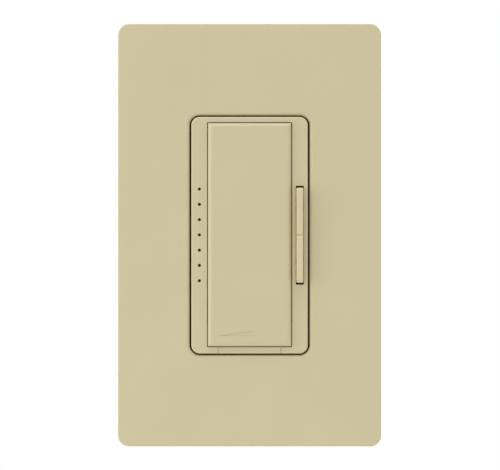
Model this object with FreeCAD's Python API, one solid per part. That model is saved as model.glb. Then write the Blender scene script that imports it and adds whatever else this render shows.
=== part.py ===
"""Wall dimmer with a tap switch, a raise/lower rocker and a screwless wallplate.

Row frame, in millimetres: the origin is midway between the two box mounting screws, on the
wall surface. +X is right as seen from the room, +Y goes into the wall and +Z is up, so the
front of the dimmer is at negative Y.
"""
import FreeCAD, Part
import math
import os

V = FreeCAD.Vector
X_AXIS, Y_AXIS, Z_AXIS = V(1, 0, 0), V(0, 1, 0), V(0, 0, 1)
SIDES = (-1, 1)

# Depths that are clear of the whole dimmer, for cuts that go right through,
# and the overlap that lets two neighbouring shapes fuse
CLEAR_FRONT, CLEAR_BACK = -20.0, 40.0
FUSE = 0.1

# ---------------------------------------------------------------- driving dimensions
# Screwless wallplate, drafted from its back rim to its front face
PLATE_W, PLATE_H, PLATE_FRONT = 74.4, 119.1, -7.6
PLATE_DRAFT, PLATE_WALL = 0.3, 2.0
PLATE_CORNER_R, PLATE_INNER_R, PLATE_EDGE_R = 3.4, 2.4, 0.4
OPENING_W, OPENING_H, OPENING_R = 33.6, 67.2, 2.8
OPENING_EDGE_R = 0.9
COLLAR_WALL, COLLAR_BACK, COLLAR_R = 1.4, -3.7, 3.6
RIB_T, RIB_BACK = 1.0, -4.6
RIB_X, RIB_Z, RIB_REACH = 27.0, (38.5, 52.5), 33.0
LUG_W, LUG_REACH = 9.0, 0.8
LUG_BACK, LUG_NOSE, LUG_RAMP = 0.1, 0.5, 1.3
LUG_X, LUG_Z = (-22.0, 22.0), (-40.0, 0.0, 40.0)
PRY_NOTCH_W, PRY_NOTCH_DEPTH = 8.0, 1.3

# Standard spacings of a one-gang designer device, and its 6-32 screws
BOX_SCREW_Z = 83.34 / 2
PLATE_SCREW_Z = 96.84 / 2
SIX_32_R, SIX_32_HEAD_R, SIX_32_HEAD_T = 1.75, 3.2, 2.0

# Cross recesses: (size across, depth) on each kind of screw
BOX_RECESS, FLAT_RECESS, COVER_RECESS, TERMINAL_RECESS = (3.6, 1.3), (3.4, 1.2), (2.6, 1.0), (3.6, 1.3)

# Yoke: aluminium strap and heat sink, its back face on the wall
YOKE_T = 1.6
YOKE_FRONT = -YOKE_T
YOKE_H, EAR_W, EAR_CORNER_R = 106.4, 44.0, 3.0
FIN_W, FIN_H, FIN_CORNER_R = 63.2, 72.0, 2.0
SCORE_X, SCORE_DEPTH, SCORE_SLOPE = (22.8, 27.2), 0.7, 0.8
BOX_SLOT_W, BOX_SLOT_H = 7.1, 4.0
EAR_HOLE_X, EAR_HOLE_R = 16.0, 2.4

# Ground tab bent back from the yoke, and its hex-head screw
GROUND_X, GROUND_Y = 14.5, 4.7
GROUND_TAB_W, GROUND_TAB_T, GROUND_TAB_BACK = 9.0, 1.4, 9.2
GROUND_TAB_TOP, GROUND_BLANK_H, GROUND_TAB_R = -35.0, 8.0, 2.0
GROUND_HOLE_R, GROUND_SCREW_R, GROUND_SCREW_L = 1.95, 1.9, 3.6
GROUND_FLANGE_R, GROUND_FLANGE_T, GROUND_FLANGE_GAP = 4.2, 0.5, 0.3
GROUND_HEX_R, GROUND_HEX_H = 3.7, 1.9

# Box screws: a necked shank, a thread behind the yoke and a blunt point
BOX_NECK_R, BOX_THREAD_Y, BOX_THREAD_L = 1.45, 0.1, 21.0
BOX_POINT_R, BOX_POINT_L = 1.2, 0.8

# Adapter: the frame that the wallplate snaps to, and its flat-head screws
ADAPTER_T, ADAPTER_GAP = 1.8, 0.4
ADAPTER_CORNER_R = PLATE_INNER_R - ADAPTER_GAP
ADAPTER_FRONT = YOKE_FRONT - ADAPTER_T
ADAPTER_RIM_FRONT, ADAPTER_RIM_T, ADAPTER_RIM_R = -5.2, 1.0, 0.8
ADAPTER_WINDOW_GAP, ADAPTER_WINDOW_R = 0.8, 3.0
ADAPTER_VENT_W, ADAPTER_VENT_H, ADAPTER_VENT_R = 14.0, 9.0, 2.0
ADAPTER_VENT_X, ADAPTER_VENT_Z = 22.0, 47.0
ADAPTER_HOLE_R, ADAPTER_SINK_R, ADAPTER_SINK_DEPTH = 1.9, 3.1, 1.4
FLAT_SCREW_R, FLAT_SCREW_HEAD_R, FLAT_SCREW_HEAD_T = 1.68, 3.0, 1.5
FLAT_SCREW_L, FLAT_SCREW_SINK = 6.2, 0.05

# Bezel: the moulded front of the dimmer, with a flange and ledges behind its gaps
BEZEL_W, BEZEL_H, BEZEL_R = 32.7, 66.4, 2.35
BEZEL_FRONT, BEZEL_FACE_T, BEZEL_WALL = -7.9, 1.4, 1.1
BEZEL_UNDER = BEZEL_FRONT + BEZEL_FACE_T
BEZEL_INNER_R, BEZEL_EDGE_R = 1.2, 0.4
BEZEL_FLANGE_REACH, BEZEL_FLANGE_FRONT = 0.65, -2.6
LEDGE_REACH, LEDGE_FRONT, LEDGE_BOTTOM = 0.4, -2.2, -25.0
GUIDE_T = 1.0
LEG_Z, LEG_W, LEG_T, LEG_INSET = (-17.5, 17.5), 5.0, 1.1, 0.1
LEG_HOOK, LEG_HOOK_END, LEG_END = 0.7, 0.9, 1.9

# Tap switch: the large paddle, pivoted at its top and stopped by hooks near its bottom
PADDLE_W, PADDLE_H, PADDLE_CZ = 23.4, 62.65, 0.14
PADDLE_TOP, PADDLE_BOTTOM = PADDLE_CZ + PADDLE_H / 2, PADDLE_CZ - PADDLE_H / 2
PADDLE_FRONT, PADDLE_FACE_T, PADDLE_WALL = -8.9, 1.5, 1.2
PADDLE_UNDER = PADDLE_FRONT + PADDLE_FACE_T
PADDLE_BACK, PADDLE_RIB_BACK, PADDLE_RIB_T = -5.2, -6.0, 1.0
PADDLE_RIB_X, PADDLE_RIB_Z = (-6.0, 6.0), (-20.0, -6.0, 20.0)
PADDLE_EDGE_R, PADDLE_GAP = 1.15, 0.22
TAB_RELIEF_HALF_W = 9.6
PIVOT_Y, PIVOT_Z, PIVOT_R, PIVOT_REACH = -3.9, 29.3, 0.8, 0.95
PIVOT_EAR_BACK, PIVOT_EAR_DOWN, PIVOT_EAR_UP = -2.7, 1.6, 1.4
PIVOT_CLEARANCE, THROAT_SHARE = 0.05, 0.85
HOOK_BOTTOM, HOOK_TOP, HOOK_FRONT, HOOK_BACK, HOOK_REACH = -28.5, -26.5, -3.6, -2.6, 0.8
HOOK_PLAY_Y, HOOK_PLAY_Z = 0.05, 0.3
TAP_POST_R, TAP_POST_TIP_R, TAP_POST_STEP = 2.0, 1.1, -3.0
MARK_X, MARK_Z, MARK_L, MARK_H, MARK_DEPTH = -8.6, -28.2, 9.2, 1.5, 0.12

# Push switch behind the paddle
TACT_Z, TACT_SIZE, TACT_CORNER_R, TACT_FRONT = 7.5, 6.0, 0.4, -0.3
TACT_BORE_R, TACT_BORE_END = 1.75, 0.7
TACT_PLUNGER_R, TACT_PLUNGER_L, TACT_PLAY = 1.7, 1.7, 0.05

# Raise/lower rocker, its slot, and the feet that press two small push switches
ROCKER_X, ROCKER_W, ROCKER_L = 14.09, 1.92, 26.6
ROCKER_TOP, ROCKER_BAR_BACK, ROCKER_UNDER = -10.2, -6.0, -4.2
ROCKER_EDGE_R, ROCKER_END_R = 0.3, 0.8
ROCKER_WEB_HALF = 11.0
GROOVE_HALF_W, GROOVE_DEPTH = 0.5, 0.45
SLOT_W, SLOT_L = 2.24, 27.7
SLOT_LEDGE_Z = (12.4, 14.8)
ROCKER_PIN_Y, ROCKER_PIN_R, ROCKER_PIN_REACH = -4.9, 0.6, 0.9
FOOT_Z, FOOT_W, FOOT_H, FOOT_FRONT, FOOT_END = 9.0, 1.5, 1.6, -4.4, 1.05
FOOT_SWITCH_SIZE, FOOT_SWITCH_R, FOOT_SWITCH_GAP = 4.4, 0.3, 0.6
FOOT_PLUNGER_R, FOOT_PLUNGER_L, FOOT_PLAY, FOOT_BORE_END = 1.1, 1.4, 0.05, 2.95

# Row of seven level lights, and the clear comb behind them
LIGHT_X, LIGHT_PITCH, LIGHT_COUNT, LIGHT_CZ = -14.07, 4.28, 7, 0.1
LIGHT_HOLE_R, LIGHT_TIP_R, LIGHT_ROD_R = 0.44, 0.41, 0.85
LIGHT_TIP_FRONT, LIGHT_TIP_L, LIGHT_ROD_FRONT, LIGHT_ROD_L = -7.2, 1.6, -6.3, 8.5
COMB_W, COMB_FRONT, COMB_HALF_H = 1.6, -3.6, 15.4

# Service switch: the pull-out tab that opens an air gap, its stem and the contact arm
TAB_W, TAB_GAP, TAB_BACK = 17.5, 0.1, -1.75
TAB_BOTTOM, TAB_TOP = -BEZEL_H / 2, PADDLE_BOTTOM - PADDLE_GAP
TAB_STEP_W, TAB_STEP_FRONT = 16.0, -3.3
STEM_W, STEM_FRONT, STEM_END = 8.0, -2.5, 11.0
STEM_BOTTOM, STEM_TOP = -30.7, -28.3
STEM_SLOT_GAP, STEM_SLOT_Y, STEM_SLOT_BOTTOM = 0.4, (7.7, 9.45), -30.0
ARM_PIVOT_Y, ARM_PIVOT_Z = 8.2, -14.0
ARM_T, ARM_W, ARM_TIP_Z = 0.4, 3.6, -29.5
ARM_EYE_R, ARM_EYE_BORE_R, ARM_EYE_SLOT_W = 0.9, 0.55, 1.8
CONTACT_Z, CONTACT_R, CONTACT_T, CONTACT_GAP = -24.0, 1.4, 0.7, 0.02
CONTACT_STRIP_W, CONTACT_STRIP_T, CONTACT_STRIP_Z = 4.0, 0.6, (-27.2, -20.8)
BRACKET_W, BRACKET_T, BRACKET_BASE_T = 6.0, 0.6, 0.5
BRACKET_BASE_H, BRACKET_EAR_H, BRACKET_OVER_PIN = 2.6, 2.0, 1.0
ARM_PIN_R, ARM_PIN_L = 0.5, 6.4
SPRING_WIRE_R, SPRING_COIL_R, SPRING_PITCH, SPRING_TURNS = 0.14, 0.66, 0.3, 4.75
SPRING_ARM_LEG, SPRING_ARM_LEAN, SPRING_BASE_GAP = 3.5, 0.07, 0.6

# Back cover, its four screws and the insulating sheet
COVER_W, COVER_H, COVER_WALL, COVER_R = 43.2, 66.0, 1.8, 2.0
SHEET_T, SHEET_GROW = 0.3, 0.2
COVER_BACK, COVER_EDGE_R, COVER_INNER_R = 28.5, 1.4, 1.0
FLANGE_REACH, FLANGE_BACK, FLANGE_EDGE_R = 0.8, 2.6, 0.5
COVER_SCREW_X, COVER_SCREW_Z, POST_R, POST_SHORT = 18.4, 29.8, 3.1, 1.5
COVER_SCREW_R, COVER_SCREW_HEAD_R, COVER_SCREW_HEAD_T = 1.25, 2.2, 1.7
COVER_SCREW_SEAT, COVER_SCREW_SINK = 25.9, 0.3
COVER_BORE_R, COVER_COUNTERBORE_R = 1.35, 2.45
YOKE_TAP_R, SHEET_HOLE_R = 1.3, 1.5
STOP_X, STOP_HALF_H, STOP_Z = 17.8, 2.0, (-8.0, 10.5)
BOARD_RIB_X, BOARD_RIB_T, BOARD_RIB_Z = (9.0, 14.0), 1.2, 25.0
LABEL_W, LABEL_H, LABEL_T, LABEL_CZ, LABEL_RECESS = 25.4, 35.4, 0.1, 2.0, 0.25
STRIP_GAUGE_W, STRIP_GAUGE_H, STRIP_GAUGE_Z, STRIP_GAUGE_DEPTH = 12.7, 2.2, -24.0, 0.8

# Boards and the header that joins them
BOARD_R = 1.0
CONTROL_W, CONTROL_H, CONTROL_CZ = 38.0, 28.1, -1.45
CONTROL_FRONT, CONTROL_T = 3.2, 1.2
CONTROL_BACK = CONTROL_FRONT + CONTROL_T
POWER_W, POWER_H, POWER_POST_GAP = 31.2, 61.0, 0.3
POWER_FRONT, POWER_T = 19.0, 1.6
POWER_BACK = POWER_FRONT + POWER_T
HEADER_PINS, HEADER_PITCH, HEADER_Z, HEADER_HOLE_R = 6, 2.54, -9.0, 0.45
HEADER_PIN_W, HEADER_SLEEVE_GAP, HEADER_OVER_FRONT, HEADER_OVER_BACK = 0.6, 0.02, 0.6, 0.8
HEADER_BODY_W, HEADER_BODY_H, HEADER_BODY_D = 15.2, 2.4, 2.5

# Components: lamps, controller and chips
LAMP_W, LAMP_H, LAMP_BASE_T, LENS_W, LENS_H, LENS_T = 1.5, 3.0, 0.4, 1.2, 1.8, 0.5
CONTROLLER_X, CONTROLLER_Z, CONTROLLER_W, CONTROLLER_H = -12.5, 4.0, 5.3, 7.2
CONTROLLER_STANDOFF, CONTROLLER_D = 0.1, 1.8
CONTROLLER_PINS, CONTROLLER_PITCH, CONTROLLER_PIN_T = 10, 0.65, 0.3
CONTROLLER_PIN_X = (2.5, 3.9)
CHIP_X, CHIP_Z, CHIP_STEP_X, CHIP_STEP_Z = 9.2, -12.5, 2.1, 3.2
CHIP_COLUMNS, CHIP_ROWS = 4, 5
CHIP_W, CHIP_H, CHIP_D, CHIP_R = 1.2, 2.0, 0.6, 0.1

# Power device on its pad, riveted to the yoke
TRIAC_X, TRIAC_HALF_W, TRIAC_FRONT, TRIAC_BACK, TRIAC_BEVEL = 0.0, 5.0, 0.6, 5.0, 0.5
TRIAC_BOTTOM, TRIAC_TOP, TRIAC_TAB_TOP, TRIAC_TAB_BACK = 15.3, 24.5, 30.9, 1.9
TRIAC_HOLE_Z, TRIAC_HOLE_R = TRIAC_TAB_TOP - 2.7, 1.85
TRIAC_LEAD_X, TRIAC_LEAD_W, TRIAC_LEAD_T = (-2.54, 0.0, 2.54), 0.8, 0.5
TRIAC_LEAD_FRONT, TRIAC_LEAD_BOTTOM = 2.9, 13.6
PAD_W, PAD_H, PAD_CZ, PAD_R, PAD_HOLE_R = 11.0, 15.9, 23.1, 0.3, 1.7
RIVET_HOLE_R, RIVET_R, RIVET_HEAD_R, RIVET_HEAD_T = 1.6, 1.5, 2.6, 0.9
RIVET_L, RIVET_TAIL_R, RIVET_TAIL_T, RIVET_BORE_R, RIVET_BORE_Y = 4.5, 2.3, 0.7, 0.8, 1.0

# Choke: a ferrite ring with a winding of separate turns
CHOKE_X, CHOKE_Z, CHOKE_R, CHOKE_BORE_R = 4.5, 2.0, 9.0, 5.0
CHOKE_FRONT, CHOKE_BACK, CHOKE_BEVEL = 10.6, 17.4, 0.4
WINDING_TURNS, WINDING_START, WINDING_SWEEP = 26, 20.0, 320.0
WIRE_R, WIRE_GAP, WIRE_BEND = 0.42, 0.03, 1.6

# Capacitors, surge disc and fusible resistor
FILM_X, FILM_Z, FILM_FRONT, FILM_GAP, FILM_R = (-13.5, -7.5), (-7.0, 6.0), 7.6, 0.3, 0.6
CAN_X, CAN_Z, CAN_R, CAN_FRONT, CAN_EDGE_R = 9.0, -21.0, 4.0, 7.5, 0.5
DISC_X, DISC_Y, DISC_Z, DISC_R, DISC_T, DISC_EDGE_R = -10.0, 12.6, 19.0, 4.8, 4.0, 1.2
DISC_LEAD_R, DISC_LEAD_HALF, DISC_LEAD_FRONT = 0.4, 2.5, 15.0
FUSE_X, FUSE_Y, FUSE_Z, FUSE_R, FUSE_L, FUSE_EDGE_R = 8.5, 14.0, 18.5, 1.9, 9.0, 0.6
FUSE_LEAD_R, FUSE_LEAD_REACH = 0.35, 1.2

# Screw terminals: (side, height) of each, and the pocket that it sits in
TERMINALS = {"line": (1, 12.0), "load": (1, -8.0), "traveler": (-1, 12.0)}
POCKET_Y, POCKET_HALF_H, POCKET_R = (10.0, 22.0), 5.5, 1.0
POCKET_FLOOR, POCKET_WALL = 17.2, 1.2
WIRE_WAY_HALF_H, WIRE_WAY_LIP = 2.4, 1.2
TERMINAL_Y, TERMINAL_PLATE_T, TERMINAL_PLATE_HALF = 16.0, 1.0, 4.6
TAIL_X, TAIL_T, TAIL_HALF_H, TAIL_GAP, TAIL_WAY_HALF_H = 13.8, 0.8, 1.5, 0.1, 1.7
TERMINAL_SCREW_R, TERMINAL_SCREW_L, TERMINAL_BORE_R = 2.0, 5.8, 2.3
TERMINAL_HEAD_R, TERMINAL_HEAD_T, TERMINAL_BACKED_OUT = 3.8, 2.0, 0.7
TERMINAL_SLOT_W, TERMINAL_SLOT_DEPTH, TERMINAL_HOLE_GAP = 1.1, 0.9, 0.05

# Windows through the yoke: (width, height, corner radius, centre x, centre z)
YOKE_WINDOWS = [
    (3.4, 28.6, 1.2, LIGHT_X, LIGHT_CZ),
    (7.4, 7.4, 1.0, 0.0, TACT_Z),
    (STEM_W + 1.2, 3.6, 0.5, 0.0, (STEM_BOTTOM + STEM_TOP) / 2),
    (3.4, 4.6, 0.6, ROCKER_X, FOOT_Z),
    (3.4, 4.6, 0.6, ROCKER_X, -FOOT_Z),
]
LEG_WINDOW_W, LEG_WINDOW_H, LEG_WINDOW_R, LEG_WINDOW_X = 2.5, 5.5, 0.4, 16.25


# ---------------------------------------------------------------- shape helpers
def box(x0, x1, y0, y1, z0, z1):
    """Block between two opposite corners, whose x and z may come in either order."""
    x0, x1 = sorted((x0, x1))
    z0, z1 = sorted((z0, z1))
    return Part.makeBox(x1 - x0, y1 - y0, z1 - z0, V(x0, y0, z0))


def rod(x, y, z, radius, length, axis=Y_AXIS):
    """Cylinder that starts at a point and runs along an axis."""
    return Part.makeCylinder(radius, length, V(x, y, z), axis)


def cone(x, y, z, r0, r1, length, axis=Y_AXIS):
    """Truncated cone that starts at a point with radius r0 and ends with radius r1."""
    return Part.makeCone(r0, r1, length, V(x, y, z), axis)


def through_hole(x, z, radius):
    """Cutter for a round hole that goes right through from front to back."""
    return rod(x, CLEAR_FRONT, z, radius, CLEAR_BACK - CLEAR_FRONT)


def through_slot(w, h, r, cx=0.0, cz=0.0):
    """Cutter for a rounded rectangle that goes right through from front to back."""
    return slab(w, h, CLEAR_FRONT, CLEAR_BACK, r, cx, cz)


def edges_along(shape, axis):
    """Straight edges that run parallel to an axis."""
    found = []
    for edge in shape.Edges:
        if isinstance(edge.Curve, Part.Line) and abs(edge.tangentAt(edge.FirstParameter) * axis) > 0.999:
            found.append(edge)
    return found


def edges_at_y(shape, y, half_w=math.inf, half_h=math.inf):
    """Edges that lie wholly in the plane at depth y, within a window about the axis."""
    found = []
    for edge in shape.Edges:
        b = edge.BoundBox
        flat = abs(b.YMin - y) < 1e-4 and abs(b.YMax - y) < 1e-4
        inside = max(-b.XMin, b.XMax) < half_w and max(-b.ZMin, b.ZMax) < half_h
        if flat and inside:
            found.append(edge)
    return found


def circles(shape):
    """Circular edges."""
    return [e for e in shape.Edges if isinstance(e.Curve, Part.Circle)]


def slab(w, h, y0, y1, r=0.0, cx=0.0, cz=0.0):
    """Plate facing the room, w wide and h high, with its corners rounded in front view."""
    s = box(cx - w / 2, cx + w / 2, y0, y1, cz - h / 2, cz + h / 2)
    return s.makeFillet(r, edges_along(s, Y_AXIS)) if r else s


def outline(w, h, r, y):
    """Rounded rectangle as a closed wire at depth y."""
    thin = slab(w, h, y, y + 1.0, r)
    face = min(thin.Faces, key=lambda f: f.CenterOfMass.y)
    return face.OuterWire


def prism(points, length, axis):
    """Solid swept from a closed polygon along an axis."""
    face = Part.Face(Part.makePolygon([V(*p) for p in points] + [V(*points[0])]))
    return face.extrude(axis * length)


def fused(first, *others):
    """One solid from several that touch or overlap."""
    return first.multiFuse(list(others)).removeSplitter()


def cut_all(body, cuts):
    """A solid with several cutters taken from it."""
    return body.cut(cuts[0].multiFuse(cuts[1:]))


def turned(shape, degrees, axis=Y_AXIS, centre=V(0, 0, 0)):
    """Copy of a shape turned about an axis through a point."""
    copy = shape.copy()
    copy.rotate(centre, axis, degrees)
    return copy


def cross_recess(x, y, z, size, depth, axis=Y_AXIS):
    """Tapered cross driver recess, to be cut from a head whose face is at the point."""
    half, root, w = size / 2, size / 5, size / 9
    section = [(-half, 0, -w), (half, 0, -w), (root, depth, -w), (-root, depth, -w)]
    blade = prism(section, 2 * w, Z_AXIS)
    cross = fused(blade, turned(blade, 90))
    cross.Placement = FreeCAD.Placement(V(x, y, z), FreeCAD.Rotation(Y_AXIS, axis))
    return cross


def pan_head(x, y, z, radius, height, axis=Y_AXIS):
    """Domed screw head whose crown is at the point; the shank leaves along the axis."""
    top = V(x, y, z)
    head = Part.makeCylinder(radius, height, top, axis)
    crown = min(circles(head), key=lambda e: (e.Curve.Center - top).Length)
    return head.makeFillet(height * 0.55, [crown])


def light_heights():
    """Height of each level light, from the lowest up."""
    first = LIGHT_CZ - LIGHT_PITCH * (LIGHT_COUNT - 1) / 2
    return [first + LIGHT_PITCH * i for i in range(LIGHT_COUNT)]


def header_places():
    """Distance to the right of each header pin."""
    first = -HEADER_PITCH * (HEADER_PINS - 1) / 2
    return [first + HEADER_PITCH * i for i in range(HEADER_PINS)]


def corner_screw_places():
    """Centre of each back cover screw in front view."""
    return [(sx * COVER_SCREW_X, sz * COVER_SCREW_Z) for sx in SIDES for sz in SIDES]


# ---------------------------------------------------------------- wallplate and adapter
def snap_lug(wall_distance, offset):
    """Wedge on the inside of the wallplate's top wall that catches behind the adapter."""
    x, root, tip = offset - LUG_W / 2, wall_distance + FUSE, wall_distance - LUG_REACH
    back, nose, ramp = (YOKE_FRONT + y for y in (LUG_BACK, LUG_NOSE, LUG_RAMP))
    return prism([(x, back, root), (x, back, tip), (x, nose, tip), (x, ramp, root)], LUG_W, X_AXIS)


def wallplate():
    """Hollow screwless cover with an opening for the device and snap lugs inside."""
    narrower = 2 * PLATE_DRAFT
    back = outline(PLATE_W, PLATE_H, PLATE_CORNER_R, 0.0)
    front = outline(PLATE_W - narrower, PLATE_H - narrower, PLATE_CORNER_R - PLATE_DRAFT, PLATE_FRONT)
    body = Part.makeLoft([back, front], True, True)
    body = body.makeFillet(PLATE_EDGE_R, edges_at_y(body, PLATE_FRONT))
    in_w, in_h = PLATE_W - 2 * PLATE_WALL, PLATE_H - 2 * PLATE_WALL
    ceiling = PLATE_FRONT + PLATE_WALL
    body = body.cut(slab(in_w, in_h, ceiling, CLEAR_BACK, PLATE_INNER_R))

    collar_w, collar_h = OPENING_W + 2 * COLLAR_WALL, OPENING_H + 2 * COLLAR_WALL
    extras = [slab(collar_w, collar_h, ceiling, COLLAR_BACK, COLLAR_R)]
    for side in SIDES:
        extras.append(slab(RIB_T, 2 * max(RIB_Z), ceiling, RIB_BACK, 0.0, side * RIB_X))
        extras.extend(slab(2 * RIB_REACH, RIB_T, ceiling, RIB_BACK, 0.0, 0.0, side * z) for z in RIB_Z)
    for x in LUG_X:
        extras.extend(turned(snap_lug(in_h / 2, x), angle) for angle in (0, 180))
    for z in LUG_Z:
        extras.extend(turned(snap_lug(in_w / 2, z), angle) for angle in (90, 270))
    body = fused(body, *extras)

    body = body.cut(through_slot(OPENING_W, OPENING_H, OPENING_R))
    rim = edges_at_y(body, PLATE_FRONT, OPENING_W / 2 + FUSE, OPENING_H / 2 + FUSE)
    body = body.makeFillet(OPENING_EDGE_R, rim)
    notch_h = 2 * (PLATE_WALL + 1.0)
    return body.cut(slab(PRY_NOTCH_W, notch_h, -PRY_NOTCH_DEPTH, CLEAR_BACK, 0.0, 0.0, -PLATE_H / 2))


def wallplate_adapter():
    """Frame screwed to the yoke, with a stiffening rim and clearance for the screw heads."""
    margin = 2 * (PLATE_WALL + ADAPTER_GAP)
    w, h = PLATE_W - margin, PLATE_H - margin
    plate = slab(w, h, ADAPTER_FRONT, YOKE_FRONT, ADAPTER_CORNER_R)
    rim = slab(w, h, ADAPTER_RIM_FRONT, ADAPTER_FRONT, ADAPTER_CORNER_R)
    rim = rim.cut(through_slot(w - 2 * ADAPTER_RIM_T, h - 2 * ADAPTER_RIM_T, ADAPTER_RIM_R))
    around = 2 * ADAPTER_WINDOW_GAP
    cuts = [through_slot(BEZEL_W + around, BEZEL_H + around, ADAPTER_WINDOW_R)]
    for side in SIDES:
        z = side * PLATE_SCREW_Z
        cuts.append(through_hole(0, side * BOX_SCREW_Z, SIX_32_HEAD_R + 0.15))
        cuts.append(through_hole(0, z, ADAPTER_HOLE_R))
        cuts.append(cone(0, ADAPTER_FRONT, z, ADAPTER_SINK_R, ADAPTER_HOLE_R, ADAPTER_SINK_DEPTH))
        for x in (-ADAPTER_VENT_X, ADAPTER_VENT_X):
            vent = through_slot(ADAPTER_VENT_W, ADAPTER_VENT_H, ADAPTER_VENT_R, x, side * ADAPTER_VENT_Z)
            cuts.append(vent)
    return cut_all(fused(plate, rim), cuts)


def adapter_screws():
    """Two flat-head screws that hold the adapter to the yoke."""
    screws = []
    face = ADAPTER_FRONT + FLAT_SCREW_SINK
    for side in SIDES:
        z = side * PLATE_SCREW_Z
        head = cone(0, face, z, FLAT_SCREW_HEAD_R, FLAT_SCREW_R, FLAT_SCREW_HEAD_T)
        screw = fused(head, rod(0, face, z, FLAT_SCREW_R, FLAT_SCREW_L))
        screws.append(screw.cut(cross_recess(0, face, z, *FLAT_RECESS)))
    return Part.makeCompound(screws)


# ---------------------------------------------------------------- yoke and its fasteners
def window_cuts(grow=0.0):
    """Cutters for the windows of the yoke; the sheet behind it has larger ones."""
    windows = list(YOKE_WINDOWS)
    for side in SIDES:
        windows.extend((LEG_WINDOW_W, LEG_WINDOW_H, LEG_WINDOW_R, side * LEG_WINDOW_X, z) for z in LEG_Z)
    cuts = [through_slot(w + 2 * grow, h + 2 * grow, r, x, z) for w, h, r, x, z in windows]
    cuts.append(through_hole(TRIAC_X, TRIAC_HOLE_Z, RIVET_HOLE_R + grow))
    return cuts


def score_groove(x):
    """V groove along which a fin snaps off."""
    half, z, length = SCORE_DEPTH * SCORE_SLOPE, -FIN_H / 2 - 1.0, FIN_H + 2.0
    section = [(x - half, YOKE_FRONT, z), (x + half, YOKE_FRONT, z), (x, YOKE_FRONT + SCORE_DEPTH, z)]
    return prism(section, length, Z_AXIS)


def yoke():
    """Strap with ears, scored break-off fins and a ground tab bent back from it."""
    strap = slab(EAR_W, YOKE_H, YOKE_FRONT, 0.0, EAR_CORNER_R)
    fins = slab(FIN_W, FIN_H, YOKE_FRONT, 0.0, FIN_CORNER_R)
    cuts = window_cuts()
    for side in SIDES:
        cuts.append(through_slot(BOX_SLOT_W, BOX_SLOT_H, BOX_SLOT_H / 2 - 0.01, 0, side * BOX_SCREW_Z))
        cuts.append(through_hole(0, side * PLATE_SCREW_Z, SIX_32_R))
        cuts.extend(score_groove(side * x) for x in SCORE_X)
        cuts.extend(through_hole(x, side * PLATE_SCREW_Z, EAR_HOLE_R) for x in (-EAR_HOLE_X, EAR_HOLE_X))
    cuts.extend(through_hole(x, z, YOKE_TAP_R) for x, z in corner_screw_places())
    tab_bottom = GROUND_TAB_TOP - GROUND_TAB_T
    blank_z = tab_bottom - GROUND_BLANK_H / 2
    cuts.append(through_slot(GROUND_TAB_W + 0.2, GROUND_BLANK_H, 0.0, GROUND_X, blank_z))
    body = cut_all(fused(strap, fins), cuts)

    tab_z = tab_bottom + GROUND_TAB_T / 2
    tab = slab(GROUND_TAB_W, GROUND_TAB_T, YOKE_FRONT, GROUND_TAB_BACK, 0.0, GROUND_X, tab_z)
    free_corners = [e for e in edges_along(tab, Z_AXIS) if e.CenterOfMass.y > GROUND_Y]
    tab = tab.makeFillet(GROUND_TAB_R, free_corners)
    hole = rod(GROUND_X, GROUND_Y, tab_bottom - 1.0, GROUND_HOLE_R, GROUND_TAB_T + 2.0, Z_AXIS)
    return fused(body, tab).cut(hole)


def box_screws():
    """Two machine screws that fasten the yoke to the wall box; the threads stand out behind."""
    screws = []
    crown = YOKE_FRONT - SIX_32_HEAD_T
    for side in SIDES:
        z = side * BOX_SCREW_Z
        head = pan_head(0, crown, z, SIX_32_HEAD_R, SIX_32_HEAD_T)
        neck = rod(0, YOKE_FRONT, z, BOX_NECK_R, YOKE_T + BOX_THREAD_Y)
        thread = rod(0, BOX_THREAD_Y, z, SIX_32_R, BOX_THREAD_L)
        point = cone(0, BOX_THREAD_Y + BOX_THREAD_L, z, SIX_32_R, BOX_POINT_R, BOX_POINT_L)
        screws.append(fused(head, neck, thread, point).cut(cross_recess(0, crown, z, *BOX_RECESS)))
    return Part.makeCompound(screws)


def ground_screw():
    """Hex-head ground screw in the bent tab, its slotted head facing down."""
    z = GROUND_TAB_TOP - GROUND_TAB_T - GROUND_FLANGE_GAP - GROUND_FLANGE_T
    corners = []
    for i in range(6):
        angle = math.radians(60 * i + 30)
        across, out = GROUND_HEX_R * math.cos(angle), GROUND_HEX_R * math.sin(angle)
        corners.append((GROUND_X + across, GROUND_Y + out, z))
    head = prism(corners, -GROUND_HEX_H, Z_AXIS)
    flange = rod(GROUND_X, GROUND_Y, z, GROUND_FLANGE_R, GROUND_FLANGE_T, Z_AXIS)
    shank = rod(GROUND_X, GROUND_Y, z, GROUND_SCREW_R, GROUND_SCREW_L, Z_AXIS)
    slot_half_w, slot_depth = 0.5, 0.9
    x0, x1 = GROUND_X - GROUND_FLANGE_R, GROUND_X + GROUND_FLANGE_R
    crown = z - GROUND_HEX_H
    slot = box(x0, x1, GROUND_Y - slot_half_w, GROUND_Y + slot_half_w, crown - 1.0, crown + slot_depth)
    return fused(head, flange, shank).cut(slot)


def insulating_sheet():
    """Thin sheet between the yoke and the boards."""
    body = slab(COVER_W, COVER_H, 0.0, SHEET_T, COVER_R)
    holes = [through_hole(x, z, SHEET_HOLE_R) for x, z in corner_screw_places()]
    return cut_all(body, window_cuts(SHEET_GROW) + holes)


# ---------------------------------------------------------------- bezel and light pipe
def bezel_leg(side, z):
    """Snap leg that passes through the yoke and hooks behind it."""
    outer = side * (BEZEL_W / 2 - LEG_INSET)
    inner, hook = outer - side * LEG_T, outer + side * LEG_HOOK
    root, catch, low = YOKE_FRONT - 1.0, SHEET_T + 0.05, z - LEG_W / 2
    leg = [(outer, root, low), (inner, root, low), (inner, LEG_END, low), (outer, LEG_END, low)]
    leg += [(hook, LEG_HOOK_END, low), (hook, catch, low), (outer, catch, low)]
    return prism(leg, LEG_W, Z_AXIS)


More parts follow.
